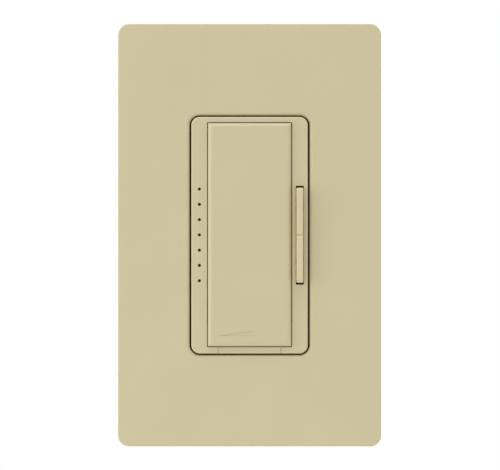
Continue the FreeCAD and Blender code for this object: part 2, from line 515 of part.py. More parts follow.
def bezel_supports(in_w, in_h):
    """Flange, guides, ledges and snap legs behind the bezel's face."""
    around = 2 * BEZEL_FLANGE_REACH
    flange_r = BEZEL_R + BEZEL_FLANGE_REACH
    flange = slab(BEZEL_W + around, BEZEL_H + around, BEZEL_FLANGE_FRONT, YOKE_FRONT, flange_r)
    supports = [flange.cut(through_slot(in_w, in_h, BEZEL_INNER_R))]
    inner, outer = PADDLE_W / 2 + PADDLE_GAP, PADDLE_W / 2 + PADDLE_GAP + GUIDE_T
    ledge_bottom = PADDLE_TOP + PADDLE_GAP - 2 * LEDGE_REACH
    supports.append(box(-inner, inner, LEDGE_FRONT, YOKE_FRONT, ledge_bottom, in_h / 2 + FUSE))
    for side in SIDES:
        supports.append(box(side * inner, side * outer, BEZEL_UNDER, YOKE_FRONT, -in_h / 2, in_h / 2))
        lip = side * (inner - LEDGE_REACH)
        supports.append(box(side * inner, lip, LEDGE_FRONT, YOKE_FRONT, LEDGE_BOTTOM, in_h / 2))
        corner = side * (TAB_W / 2 + TAB_GAP)
        top = TAB_TOP + 2 * LEDGE_REACH
        supports.append(box(side * inner, corner, LEDGE_FRONT, YOKE_FRONT, -in_h / 2, top))
        z0, z1 = (side * z for z in SLOT_LEDGE_Z)
        supports.append(box(outer - FUSE, in_w / 2 + FUSE, LEDGE_FRONT, YOKE_FRONT, z0, z1))
        supports.extend(bezel_leg(side, z) for z in LEG_Z)
    return supports


def bezel_cuts():
    """Everything that passes through or pivots in the bezel."""
    under = BEZEL_UNDER + FUSE
    inner = PADDLE_W / 2 + PADDLE_GAP
    paddle_h = PADDLE_H + 2 * PADDLE_GAP
    cuts = [slab(2 * inner, paddle_h, CLEAR_FRONT, under, 0.2, 0, PADDLE_CZ)]
    cuts.append(slab(SLOT_W, SLOT_L, CLEAR_FRONT, under, 0.15, ROCKER_X, 0))
    light_depth = BEZEL_FACE_T + 1.0
    cuts.extend(rod(LIGHT_X, BEZEL_FRONT - 0.5, z, LIGHT_HOLE_R, light_depth) for z in light_heights())
    half_tab = TAB_W / 2 + TAB_GAP
    cuts.append(box(-half_tab, half_tab, CLEAR_FRONT, CLEAR_BACK, -BEZEL_H, TAB_TOP))
    for side in SIDES:
        start, end = sorted((side * (inner - FUSE), side * (inner + GUIDE_T + FUSE)))
        cuts.append(rod(start, PIVOT_Y, PIVOT_Z, PIVOT_R + PIVOT_CLEARANCE, end - start, X_AXIS))
        throat = PIVOT_R * THROAT_SHARE
        cuts.append(box(start, end, PIVOT_Y, CLEAR_BACK, PIVOT_Z - throat, PIVOT_Z + throat))
        hook_z = (HOOK_BOTTOM - HOOK_PLAY_Z, HOOK_TOP + HOOK_PLAY_Z)
        cuts.append(box(start, end, HOOK_FRONT - HOOK_PLAY_Y, CLEAR_BACK, *hook_z))
    reach = ROCKER_W / 2 + ROCKER_PIN_REACH + PIVOT_CLEARANCE
    start, end = ROCKER_X - reach, ROCKER_X + reach
    cuts.append(rod(start, ROCKER_PIN_Y, 0, ROCKER_PIN_R + PIVOT_CLEARANCE, 2 * reach, X_AXIS))
    throat = ROCKER_PIN_R * THROAT_SHARE
    cuts.append(box(start, end, ROCKER_PIN_Y, CLEAR_BACK, -throat, throat))
    return cuts


def bezel():
    """Front moulding with openings for the paddle, rocker, lights and service tab."""
    outer = slab(BEZEL_W, BEZEL_H, BEZEL_FRONT, YOKE_FRONT, BEZEL_R)
    outer = outer.makeFillet(BEZEL_EDGE_R, edges_at_y(outer, BEZEL_FRONT))
    in_w, in_h = BEZEL_W - 2 * BEZEL_WALL, BEZEL_H - 2 * BEZEL_WALL
    shell = outer.cut(slab(in_w, in_h, BEZEL_UNDER, CLEAR_BACK, BEZEL_INNER_R))
    body = cut_all(fused(shell, *bezel_supports(in_w, in_h)), bezel_cuts())
    half_tab = TAB_W / 2 + TAB_GAP
    sill_bottom, sill_top = TAB_BOTTOM - BEZEL_FLANGE_REACH, TAB_BOTTOM - TAB_GAP
    sill = box(-half_tab, half_tab, BEZEL_FLANGE_FRONT, YOKE_FRONT, sill_bottom, sill_top)
    return fused(body, sill)


def light_pipe():
    """Clear comb that carries light from the boards to seven points on the bezel."""
    comb = slab(COMB_W, 2 * COMB_HALF_H, COMB_FRONT, YOKE_FRONT, 0.0, LIGHT_X, LIGHT_CZ)
    rods = []
    for z in light_heights():
        rods.append(rod(LIGHT_X, LIGHT_TIP_FRONT, z, LIGHT_TIP_R, LIGHT_TIP_L))
        rods.append(rod(LIGHT_X, LIGHT_ROD_FRONT, z, LIGHT_ROD_R, LIGHT_ROD_L))
    return fused(comb, *rods)


# ---------------------------------------------------------------- tap switch
def paddle_mark():
    """Shallow long wedge, low at the left, as a plain sign for dimming."""
    start, end = PADDLE_FRONT - 1.0, MARK_X + MARK_L
    section = [(MARK_X, start, MARK_Z), (end, start, MARK_Z), (end, start, MARK_Z + MARK_H)]
    return prism(section, 1.0 + MARK_DEPTH, Y_AXIS)


def paddle_ribs():
    """Cross ribs and lengthwise ribs under the paddle's face."""
    in_w = PADDLE_W - 2 * PADDLE_WALL
    span, middle = PADDLE_RIB_Z[-1] - PADDLE_RIB_Z[0], (PADDLE_RIB_Z[-1] + PADDLE_RIB_Z[0]) / 2
    ribs = []
    for z in (*PADDLE_RIB_Z, TACT_Z):
        ribs.append(slab(in_w, PADDLE_RIB_T, PADDLE_UNDER, PADDLE_RIB_BACK, 0.0, 0.0, z))
    for x in PADDLE_RIB_X:
        ribs.append(slab(PADDLE_RIB_T, span, PADDLE_UNDER, PADDLE_RIB_BACK, 0.0, x, middle))
    return ribs


def tapswitch():
    """Large paddle with side skirts, trunnions at the top and stop hooks near the bottom."""
    half, wall = PADDLE_W / 2, PADDLE_WALL
    body = slab(PADDLE_W, PADDLE_H, PADDLE_FRONT, PADDLE_BACK, 0.0, 0.0, PADDLE_CZ)
    body = body.makeFillet(PADDLE_EDGE_R, edges_at_y(body, PADDLE_FRONT))
    hollow = slab(PADDLE_W - 2 * wall, PADDLE_H - 2 * wall, PADDLE_UNDER, CLEAR_BACK, 0.0, 0.0, PADDLE_CZ)
    relief_z = (PADDLE_BOTTOM - 1.0, PADDLE_BOTTOM + wall + FUSE)
    relief = box(-TAB_RELIEF_HALF_W, TAB_RELIEF_HALF_W, PADDLE_UNDER, CLEAR_BACK, *relief_z)
    body = body.cut(hollow).cut(relief)

    extras = paddle_ribs()
    for side in SIDES:
        inside, outside = side * (half - wall), side * half
        ear_z = (PIVOT_Z - PIVOT_EAR_DOWN, PIVOT_Z + PIVOT_EAR_UP)
        extras.append(box(inside, outside, PADDLE_BACK, PIVOT_EAR_BACK, *ear_z))
        extras.append(box(inside, outside, PADDLE_BACK, HOOK_BACK, HOOK_BOTTOM, HOOK_TOP))
        hook_tip = side * (half + HOOK_REACH)
        extras.append(box(outside, hook_tip, HOOK_FRONT, HOOK_BACK, HOOK_BOTTOM, HOOK_TOP))
        start, end = sorted((side * (half - 0.5), side * (half + PIVOT_REACH)))
        extras.append(rod(start, PIVOT_Y, PIVOT_Z, PIVOT_R, end - start, X_AXIS))
    extras.append(rod(0, PADDLE_UNDER, TACT_Z, TAP_POST_R, TAP_POST_STEP - PADDLE_UNDER))
    tip_l = YOKE_FRONT - TACT_PLAY - TAP_POST_STEP
    extras.append(cone(0, TAP_POST_STEP, TACT_Z, TAP_POST_R, TAP_POST_TIP_R, tip_l))
    return fused(body, *extras).cut(paddle_mark())


def tap_switch_body():
    """Body of the small push switch behind the paddle."""
    body = slab(TACT_SIZE, TACT_SIZE, TACT_FRONT, CONTROL_FRONT, TACT_CORNER_R, 0, TACT_Z)
    return body.cut(rod(0, TACT_FRONT - 1.0, TACT_Z, TACT_BORE_R, TACT_BORE_END - TACT_FRONT + 1.0))


def tap_switch_plunger():
    """Plunger of the push switch."""
    body = rod(0, YOKE_FRONT, TACT_Z, TACT_PLUNGER_R, TACT_PLUNGER_L)
    return body.makeFillet(0.25, edges_at_y(body, YOKE_FRONT))


# ---------------------------------------------------------------- raise/lower rocker
def dimming_rocker():
    """Narrow bar on a centre pivot, grooved at its middle, with a foot behind each half."""
    x0, x1 = ROCKER_X - ROCKER_W / 2, ROCKER_X + ROCKER_W / 2
    body = slab(ROCKER_W, ROCKER_L, ROCKER_TOP, ROCKER_BAR_BACK, 0.0, ROCKER_X)
    ends = [e for e in edges_at_y(body, ROCKER_TOP) if e.Length < 2 * ROCKER_W]
    body = body.makeFillet(ROCKER_END_R, ends)
    sides = [e for e in edges_along(body, Z_AXIS) if abs(e.CenterOfMass.y - ROCKER_TOP) < 1e-4]
    body = body.makeFillet(ROCKER_EDGE_R, sides)
    lip, floor = ROCKER_TOP - 0.01, ROCKER_TOP + GROOVE_DEPTH
    section = [(x0 - 1, lip, -GROOVE_HALF_W), (x0 - 1, lip, GROOVE_HALF_W), (x0 - 1, floor, 0)]
    groove = prism(section, ROCKER_W + 2, X_AXIS)
    web = box(x0, x1, ROCKER_BAR_BACK - 0.2, ROCKER_UNDER, -ROCKER_WEB_HALF, ROCKER_WEB_HALF)
    reach = ROCKER_W / 2 + ROCKER_PIN_REACH
    pin = rod(ROCKER_X - reach, ROCKER_PIN_Y, 0, ROCKER_PIN_R, 2 * reach, X_AXIS)
    feet = [slab(FOOT_W, FOOT_H, FOOT_FRONT, FOOT_END, 0.0, ROCKER_X, side * FOOT_Z) for side in SIDES]
    return fused(body, web, pin, *feet).cut(groove)


def rocker_switch_bodies():
    """Two small push switches on the control board, one behind each foot of the rocker."""
    bodies = []
    front = FOOT_END + FOOT_SWITCH_GAP
    for side in SIDES:
        z = side * FOOT_Z
        body = slab(FOOT_SWITCH_SIZE, FOOT_SWITCH_SIZE, front, CONTROL_FRONT, FOOT_SWITCH_R, ROCKER_X, z)
        bodies.append(body.cut(rod(ROCKER_X, 0, z, FOOT_PLUNGER_R + FOOT_PLAY, FOOT_BORE_END)))
    return Part.makeCompound(bodies)


def rocker_plunger(side):
    """Plunger of one of the rocker's switches, which its own spring holds against the foot."""
    return rod(ROCKER_X, FOOT_END + FOOT_PLAY, side * FOOT_Z, FOOT_PLUNGER_R, FOOT_PLUNGER_L)


# ---------------------------------------------------------------- service switch
def service_switch():
    """Pull-out tab with a stem that reaches through the yoke to the contact arm."""
    tab = box(-TAB_W / 2, TAB_W / 2, BEZEL_FRONT, TAB_BACK, TAB_BOTTOM, TAB_TOP)
    nose = [e for e in edges_at_y(tab, BEZEL_FRONT) if e.BoundBox.ZMax < TAB_TOP - 0.5]
    tab = tab.makeFillet(BEZEL_EDGE_R, nose)
    step = box(-TAB_STEP_W / 2, TAB_STEP_W / 2, TAB_STEP_FRONT, TAB_BACK, TAB_BOTTOM + 0.2, STEM_TOP)
    stem = box(-STEM_W / 2, STEM_W / 2, STEM_FRONT, STEM_END, STEM_BOTTOM, STEM_TOP)
    half = ARM_W / 2 + STEM_SLOT_GAP
    arm_slot = box(-half, half, *STEM_SLOT_Y, STEM_SLOT_BOTTOM, STEM_TOP + 1.0)
    return fused(tab, step, stem).cut(arm_slot)


def airgap_contact_arm():
    """Sprung arm with a contact, pivoted inside the back cover."""
    front, back = ARM_PIVOT_Y - ARM_T / 2, ARM_PIVOT_Y + ARM_T / 2
    strip = box(-ARM_W / 2, ARM_W / 2, front, back, ARM_TIP_Z, ARM_PIVOT_Z - 0.6)
    eye = rod(-ARM_W / 2, ARM_PIVOT_Y, ARM_PIVOT_Z, ARM_EYE_R, ARM_W, X_AXIS)
    half = ARM_EYE_SLOT_W / 2
    spring_slot = box(-half, half, 0.0, CLEAR_BACK, ARM_PIVOT_Z - 1.2, ARM_PIVOT_Z + 2.0)
    button = rod(0, back - FUSE, CONTACT_Z, CONTACT_R, CONTACT_T)
    body = fused(strip, eye, button).cut(spring_slot)
    return body.cut(rod(-ARM_W, ARM_PIVOT_Y, ARM_PIVOT_Z, ARM_EYE_BORE_R, 2 * ARM_W, X_AXIS))


def airgap_arm_bracket():
    """Folded bracket on the control board that carries the arm's pivot."""
    base_back = CONTROL_BACK + BRACKET_BASE_T
    base = slab(BRACKET_W, BRACKET_BASE_H, CONTROL_BACK, base_back, 0.0, 0.0, ARM_PIVOT_Z)
    ear_back = ARM_PIVOT_Y + BRACKET_OVER_PIN
    ears = []
    for side in SIDES:
        x = side * (BRACKET_W - BRACKET_T) / 2
        ears.append(slab(BRACKET_T, BRACKET_EAR_H, CONTROL_BACK, ear_back, 0.0, x, ARM_PIVOT_Z))
    hole = rod(-BRACKET_W, ARM_PIVOT_Y, ARM_PIVOT_Z, ARM_PIN_R, 2 * BRACKET_W, X_AXIS)
    return fused(base, *ears).cut(hole)


def airgap_arm_pin():
    """Pivot pin of the contact arm, fixed in the bracket."""
    return rod(-ARM_PIN_L / 2, ARM_PIVOT_Y, ARM_PIVOT_Z, ARM_PIN_R, ARM_PIN_L, X_AXIS)


def airgap_arm_spring():
    """Torsion spring around the pin: a coil with one leg along the arm and one to the bracket."""
    span = SPRING_PITCH * SPRING_TURNS
    helix = Part.makeHelix(SPRING_PITCH, span, SPRING_COIL_R)
    profile = Part.Wire(Part.makeCircle(SPRING_WIRE_R, V(SPRING_COIL_R, 0, 0), Y_AXIS))
    coil = Part.Wire(helix.Edges).makePipeShell([profile], True, True)
    base_leg_l = ARM_PIVOT_Y - CONTROL_BACK - SPRING_BASE_GAP
    base_leg = rod(SPRING_COIL_R, 0, 0, SPRING_WIRE_R, base_leg_l, V(0, -1, 0))
    arm_leg_r = SPRING_WIRE_R * 0.98
    arm_leg = rod(0, -SPRING_COIL_R, span, arm_leg_r, SPRING_ARM_LEG, V(1, SPRING_ARM_LEAN, 0))
    spring = coil.fuse(base_leg).fuse(arm_leg)
    spring.rotate(V(0, 0, 0), Y_AXIS, 90)
    spring.translate(V(-span / 2, ARM_PIVOT_Y, ARM_PIVOT_Z))
    return spring


def airgap_fixed_contact():
    """Contact that the arm rests on, carried by a strip from the power board."""
    face = ARM_PIVOT_Y + ARM_T / 2 - FUSE + CONTACT_T + CONTACT_GAP
    button = rod(0, face, CONTACT_Z, CONTACT_R, CONTACT_T)
    half, (bottom, top) = CONTACT_STRIP_W / 2, CONTACT_STRIP_Z
    strip_front = face + 0.5
    strip = box(-half, half, strip_front, strip_front + CONTACT_STRIP_T, bottom, top)
    post = box(-half, half, strip_front, POWER_FRONT, top - CONTACT_STRIP_T, top)
    return fused(button, strip, post)


# ---------------------------------------------------------------- boards and components
def header_holes():
    """Cutters for the header's holes in either board."""
    return [through_hole(x, HEADER_Z, HEADER_HOLE_R) for x in header_places()]


def control_board():
    """Board behind the yoke with the switches and lights."""
    board = slab(CONTROL_W, CONTROL_H, CONTROL_FRONT, CONTROL_BACK, BOARD_R, 0, CONTROL_CZ)
    return cut_all(board, header_holes())


def power_board():
    """Board at the back that carries the mains components."""
    board = slab(POWER_W, POWER_H, POWER_FRONT, POWER_BACK, BOARD_R)
    notches = [through_hole(x, z, POST_R + POWER_POST_GAP) for x, z in corner_screw_places()]
    return cut_all(board, notches + header_holes())


def board_header_pins():
    """Row of pins that joins the two boards."""
    pins = []
    front, back = CONTROL_FRONT - HEADER_OVER_FRONT, POWER_BACK + HEADER_OVER_BACK
    for x in header_places():
        pins.append(slab(HEADER_PIN_W, HEADER_PIN_W, front, back, 0.0, x, HEADER_Z))
    return Part.makeCompound(pins)


def board_header_body():
    """Moulded strip that spaces the header pins."""
    back = CONTROL_BACK + HEADER_BODY_D
    body = slab(HEADER_BODY_W, HEADER_BODY_H, CONTROL_BACK, back, 0.0, 0.0, HEADER_Z)
    bore = HEADER_PIN_W + 2 * HEADER_SLEEVE_GAP
    return cut_all(body, [through_slot(bore, bore, 0.0, x, HEADER_Z) for x in header_places()])


def level_lights():
    """Seven surface-mount lamps, one behind each rod of the light pipe."""
    lamps = []
    shoulder = CONTROL_FRONT - LAMP_BASE_T
    for z in light_heights():
        base = slab(LAMP_W, LAMP_H, shoulder, CONTROL_FRONT, 0.1, LIGHT_X, z)
        lens = slab(LENS_W, LENS_H, shoulder - LENS_T, shoulder, 0.2, LIGHT_X, z)
        lamps.append(fused(base, lens))
    return Part.makeCompound(lamps)


def controller_chip():
    """Twenty-pin controller on the back of the control board."""
    front = CONTROL_BACK + CONTROLLER_STANDOFF
    back = front + CONTROLLER_D
    body = slab(CONTROLLER_W, CONTROLLER_H, front, back, 0.2, CONTROLLER_X, CONTROLLER_Z)
    pins = []
    first = CONTROLLER_Z - CONTROLLER_PITCH * (CONTROLLER_PINS - 1) / 2
    pin_back, half = CONTROL_BACK + CONTROLLER_PIN_T, CONTROLLER_PIN_T / 2
    for side in SIDES:
        x0, x1 = (CONTROLLER_X + side * x for x in CONTROLLER_PIN_X)
        for i in range(CONTROLLER_PINS):
            z = first + CONTROLLER_PITCH * i
            pins.append(box(x0, x1, CONTROL_BACK, pin_back, z - half, z + half))
    return fused(body, *pins)


def chip_resistors():
    """Small resistors and capacitors of the control board."""
    chips = []
    for row in range(CHIP_ROWS):
        for column in range(CHIP_COLUMNS):
            x, z = CHIP_X + CHIP_STEP_X * column, CHIP_Z + CHIP_STEP_Z * row
            chips.append(slab(CHIP_W, CHIP_H, CONTROL_BACK, CONTROL_BACK + CHIP_D, CHIP_R, x, z))
    return Part.makeCompound(chips)


def triac_body():
    """Moulded body of the power device."""
    x0, x1 = TRIAC_X - TRIAC_HALF_W, TRIAC_X + TRIAC_HALF_W
    body = box(x0, x1, TRIAC_FRONT, TRIAC_BACK, TRIAC_BOTTOM, TRIAC_TOP)
    return body.makeChamfer(TRIAC_BEVEL, edges_at_y(body, TRIAC_BACK))


def triac_tab_and_leads():
    """Metal tab and three leads of the power device."""
    x0, x1 = TRIAC_X - TRIAC_HALF_W, TRIAC_X + TRIAC_HALF_W
    tab = box(x0, x1, TRIAC_FRONT, TRIAC_TAB_BACK, TRIAC_TOP, TRIAC_TAB_TOP)
    tab = tab.cut(through_hole(TRIAC_X, TRIAC_HOLE_Z, TRIAC_HOLE_R))
    leads = []
    front, bottom = TRIAC_LEAD_FRONT, TRIAC_LEAD_BOTTOM
    for place in TRIAC_LEAD_X:
        x0, x1 = TRIAC_X + place - TRIAC_LEAD_W / 2, TRIAC_X + place + TRIAC_LEAD_W / 2
        down = box(x0, x1, front, front + TRIAC_LEAD_T, bottom, TRIAC_BOTTOM)
        back = box(x0, x1, front, POWER_FRONT, bottom, bottom + TRIAC_LEAD_T)
        leads.append(fused(down, back))
    return Part.makeCompound([tab] + leads)


def triac_pad():
    """Insulating pad between the power device and the yoke."""
    pad = slab(PAD_W, PAD_H, SHEET_T, TRIAC_FRONT, PAD_R, TRIAC_X, PAD_CZ)
    return pad.cut(through_hole(TRIAC_X, TRIAC_HOLE_Z, PAD_HOLE_R))


def triac_rivet():
    """Rivet that clamps the power device to the yoke as its heat sink."""
    crown = YOKE_FRONT - RIVET_HEAD_T
    head = pan_head(TRIAC_X, crown, TRIAC_HOLE_Z, RIVET_HEAD_R, RIVET_HEAD_T)
    shank = rod(TRIAC_X, crown + FUSE, TRIAC_HOLE_Z, RIVET_R, RIVET_L - FUSE)
    tail = rod(TRIAC_X, TRIAC_TAB_BACK, TRIAC_HOLE_Z, RIVET_TAIL_R, RIVET_TAIL_T)
    bore = rod(TRIAC_X, RIVET_BORE_Y, TRIAC_HOLE_Z, RIVET_BORE_R, CLEAR_BACK)
    return fused(head, shank, tail).cut(bore)


def choke_core():
    """Ferrite ring of the choke."""
    ring = rod(CHOKE_X, CHOKE_FRONT, CHOKE_Z, CHOKE_R, CHOKE_BACK - CHOKE_FRONT)
    ring = ring.cut(through_hole(CHOKE_X, CHOKE_Z, CHOKE_BORE_R))
    return ring.makeChamfer(CHOKE_BEVEL, edges_at_y(ring, CHOKE_FRONT) + edges_at_y(ring, CHOKE_BACK))


def winding_turn():
    """One closed loop of wire around the ring's section, on the ring's +X side."""
    r0, r1 = CHOKE_BORE_R - WIRE_GAP - WIRE_R, CHOKE_R + WIRE_GAP + WIRE_R
    y0, y1 = CHOKE_FRONT - WIRE_GAP - WIRE_R, CHOKE_BACK + WIRE_GAP + WIRE_R
    block = box(r0 - WIRE_R, r1 + WIRE_R, y0 - WIRE_R, y1 + WIRE_R, -WIRE_R, WIRE_R)
    loop = block.cut(box(r0 + WIRE_R, r1 - WIRE_R, y0 + WIRE_R, y1 - WIRE_R, -1.0, 1.0))
    corners = [e for e in edges_along(loop, Z_AXIS) if not r0 < e.CenterOfMass.x < r1]
    return loop.makeFillet(WIRE_R * WIRE_BEND, corners)


def choke_winding():
    """Turns of enamelled wire around the ring, each a separate closed loop."""
    turns = []
    for i in range(WINDING_TURNS):
        turn = turned(winding_turn(), WINDING_START + WINDING_SWEEP * i / (WINDING_TURNS - 1))
        turn.translate(V(CHOKE_X, 0, CHOKE_Z))
        turns.append(turn)
    return Part.makeCompound(turns)


def film_capacitor():
    """Boxed filter capacitor."""
    body = box(*FILM_X, FILM_FRONT, POWER_FRONT - FILM_GAP, *FILM_Z)
    return body.makeFillet(FILM_R, edges_at_y(body, FILM_FRONT) + edges_along(body, Y_AXIS))


def supply_capacitor():
    """Round electrolytic capacitor."""
    can = rod(CAN_X, CAN_FRONT, CAN_Z, CAN_R, POWER_FRONT - CAN_FRONT)
    return can.makeFillet(CAN_EDGE_R, edges_at_y(can, CAN_FRONT))


def varistor():
    """Surge disc with two leads."""
    disc = rod(DISC_X, DISC_Y, DISC_Z, DISC_R, DISC_T, X_AXIS)
    disc = disc.makeFillet(DISC_EDGE_R, circles(disc))
    leads = []
    for side in SIDES:
        z = DISC_Z + side * DISC_LEAD_HALF
        leads.append(rod(DISC_X + DISC_T / 2, DISC_LEAD_FRONT, z, DISC_LEAD_R, POWER_FRONT - DISC_LEAD_FRONT))
    return fused(disc, *leads)


def fuse_resistor():
    """Axial fusible resistor with formed leads."""
    body = rod(FUSE_X, FUSE_Y, FUSE_Z, FUSE_R, FUSE_L, Z_AXIS)
    body = body.makeFillet(FUSE_EDGE_R, circles(body))
    bottom, top = FUSE_Z - FUSE_LEAD_REACH, FUSE_Z + FUSE_L + FUSE_LEAD_REACH
    axial = rod(FUSE_X, FUSE_Y, bottom, FUSE_LEAD_R, top - bottom, Z_AXIS)
    down = [rod(FUSE_X, FUSE_Y, z, FUSE_LEAD_R, POWER_FRONT - FUSE_Y) for z in (bottom, top)]
    return fused(body, axial, *down)


# ---------------------------------------------------------------- back cover and terminals
def cover_posts():
    """Screw posts, pocket walls, board stops and board ribs inside the cover."""
    inside = COVER_W / 2 - 0.5
    posts = []
    for x, z in corner_screw_places():
        posts.append(rod(x, SHEET_T, z, POST_R, COVER_BACK - SHEET_T - POST_SHORT))
    half = POCKET_HALF_H + POCKET_WALL
    for side, z in TERMINALS.values():
        x0, x1 = side * (POCKET_FLOOR - POCKET_WALL), side * inside
        posts.append(box(x0, x1, POCKET_Y[0] - POCKET_WALL, COVER_BACK - 1.0, z - half, z + half))
    for side in SIDES:
        for z in STOP_Z:
            z0, z1 = z - STOP_HALF_H, z + STOP_HALF_H
            posts.append(box(side * STOP_X, side * inside, CONTROL_BACK, POCKET_Y[0], z0, z1))
        rib_w, rib_x = BOARD_RIB_X[1] - BOARD_RIB_X[0], side * sum(BOARD_RIB_X) / 2
        for z in (-BOARD_RIB_Z, BOARD_RIB_Z):
            posts.append(slab(rib_w, BOARD_RIB_T, POWER_BACK, COVER_BACK - 1.0, 0.0, rib_x, z))
    return posts


def cover_cuts():
    """Screw bores, terminal pockets, wire ways and the recesses in the cover's back."""
    cuts = []
    for x, z in corner_screw_places():
        cuts.append(through_hole(x, z, COVER_BORE_R))
        cuts.append(rod(x, COVER_SCREW_SEAT, z, COVER_COUNTERBORE_R, CLEAR_BACK))
    outside = COVER_W
    for side, z in TERMINALS.values():
        floor, z0, z1 = side * POCKET_FLOOR, z - POCKET_HALF_H, z + POCKET_HALF_H
        pocket = box(floor, side * outside, *POCKET_Y, z0, z1)
        cuts.append(pocket.makeFillet(POCKET_R, edges_along(pocket, X_AXIS)))
        way, half = side * (POCKET_FLOOR + WIRE_WAY_LIP), WIRE_WAY_HALF_H
        cuts.append(box(way, side * outside, POCKET_Y[1] - 1.0, CLEAR_BACK, z - half, z + half))
        x0, x1 = sorted((side * (POCKET_FLOOR - 3.0), side * (POCKET_FLOOR + 1.0)))
        cuts.append(rod(x0, TERMINAL_Y, z, TERMINAL_BORE_R, x1 - x0, X_AXIS))
        tail_y = (POWER_FRONT - TAIL_T - TAIL_GAP, POWER_FRONT + TAIL_GAP)
        cuts.append(box(x0, x1, *tail_y, z - TAIL_WAY_HALF_H, z + TAIL_WAY_HALF_H))
    label_w, label_h, label_y = LABEL_W + 0.6, LABEL_H + 0.6, COVER_BACK - LABEL_RECESS
    cuts.append(slab(label_w, label_h, label_y, CLEAR_BACK, 1.0, 0, LABEL_CZ))
    gauge_y = COVER_BACK - STRIP_GAUGE_DEPTH
    cuts.append(slab(STRIP_GAUGE_W, STRIP_GAUGE_H, gauge_y, CLEAR_BACK, 1.0, 0, STRIP_GAUGE_Z))
    return cuts


def back_cover():
    """Moulded box behind the yoke, with screw posts, terminal pockets and wire ways."""
    outer = slab(COVER_W, COVER_H, SHEET_T, COVER_BACK, COVER_R)
    outer = outer.makeFillet(COVER_EDGE_R, edges_at_y(outer, COVER_BACK))
    around = 2 * FLANGE_REACH
    flange = slab(COVER_W + around, COVER_H + around, SHEET_T, FLANGE_BACK, COVER_R)
    outer = fused(outer, flange.makeFillet(FLANGE_EDGE_R, edges_at_y(flange, FLANGE_BACK)))
    in_w, in_h = COVER_W - 2 * COVER_WALL, COVER_H - 2 * COVER_WALL
    shell = outer.cut(slab(in_w, in_h, CLEAR_FRONT, COVER_BACK - COVER_WALL, COVER_INNER_R))
    return cut_all(fused(shell, *cover_posts()), cover_cuts())


def cover_screws():
    """Four long screws from the back of the cover into the yoke."""
    screws = []
    crown, tip, forward = COVER_SCREW_SEAT + COVER_SCREW_HEAD_T, YOKE_FRONT + COVER_SCREW_SINK, V(0, -1, 0)
    for x, z in corner_screw_places():
        head = pan_head(x, crown, z, COVER_SCREW_HEAD_R, COVER_SCREW_HEAD_T, forward)
        shank = rod(x, tip, z, COVER_SCREW_R, COVER_SCREW_SEAT - tip + COVER_SCREW_SINK)
        screws.append(fused(head, shank).cut(cross_recess(x, crown, z, *COVER_RECESS, forward)))
    return Part.makeCompound(screws)


def terminal_plates():
    """Brass plate behind each terminal screw, with a tail through the pocket wall."""
    plates = []
    for side, z in TERMINALS.values():
        near, far = side * POCKET_FLOOR, side * (POCKET_FLOOR + TERMINAL_PLATE_T)
        y0, y1 = TERMINAL_Y - TERMINAL_PLATE_HALF, TERMINAL_Y + TERMINAL_PLATE_HALF
        plate = box(near, far, y0, y1, z - TERMINAL_PLATE_HALF, z + TERMINAL_PLATE_HALF)
        tail_end, tail_front = side * (POCKET_FLOOR + TERMINAL_PLATE_T / 2), POWER_FRONT - TAIL_T
        tail = box(side * TAIL_X, tail_end, tail_front, POWER_FRONT, z - TAIL_HALF_H, z + TAIL_HALF_H)
        hole = rod(-COVER_W, TERMINAL_Y, z, TERMINAL_SCREW_R + TERMINAL_HOLE_GAP, 2 * COVER_W, X_AXIS)
        plates.append(fused(plate, tail).cut(hole))
    return Part.makeCompound(plates)


def terminal_screw(name):
    """Binding-head screw of one terminal, backed out ready for a wire."""
    side, z = TERMINALS[name]
    crown = side * (POCKET_FLOOR + TERMINAL_PLATE_T + TERMINAL_BACKED_OUT + TERMINAL_HEAD_T)
    inward = V(-side, 0, 0)
    head = pan_head(crown, TERMINAL_Y, z, TERMINAL_HEAD_R, TERMINAL_HEAD_T, inward)
    shank = rod(crown - side, TERMINAL_Y, z, TERMINAL_SCREW_R, TERMINAL_SCREW_L, inward)
    y0, y1 = TERMINAL_Y - TERMINAL_SLOT_W / 2, TERMINAL_Y + TERMINAL_SLOT_W / 2
    slot_floor, z0, z1 = crown - side * TERMINAL_SLOT_DEPTH, z - TERMINAL_HEAD_R, z + TERMINAL_HEAD_R
    slot = box(slot_floor, crown + side, y0, y1, z0, z1)
    return fused(head, shank).cut(slot).cut(cross_recess(crown, TERMINAL_Y, z, *TERMINAL_RECESS, inward))


def rating_label():
    """Plain label stuck in the shallow recess of the back cover."""
    front = COVER_BACK - LABEL_RECESS
    return slab(LABEL_W, LABEL_H, front, front + LABEL_T, 0.8, 0, LABEL_CZ)


# ---------------------------------------------------------------- export
def all_nodes():
    """Every node's solids by name; most functions have their node's name."""
    makers = [
        wallplate, wallplate_adapter, adapter_screws, yoke, box_screws, ground_screw, insulating_sheet,
        bezel, light_pipe, tapswitch, tap_switch_body, tap_switch_plunger, dimming_rocker,
        rocker_switch_bodies, service_switch, airgap_contact_arm, airgap_arm_bracket, airgap_arm_pin,
        airgap_arm_spring, airgap_fixed_contact, control_board, power_board, board_header_pins,
        board_header_body, level_lights, controller_chip, chip_resistors, triac_body,
        triac_tab_and_leads, triac_pad, triac_rivet, choke_core, choke_winding, film_capacitor,
        supply_capacitor, varistor, fuse_resistor, back_cover, cover_screws, terminal_plates,
        rating_label,
    ]
    nodes = {make.__name__: make() for make in makers}
    nodes["raise_switch_plunger"] = rocker_plunger(1)
    nodes["lower_switch_plunger"] = rocker_plunger(-1)
    for name in TERMINALS:
        nodes[f"terminal_screw_{name}"] = terminal_screw(name)
    return nodes


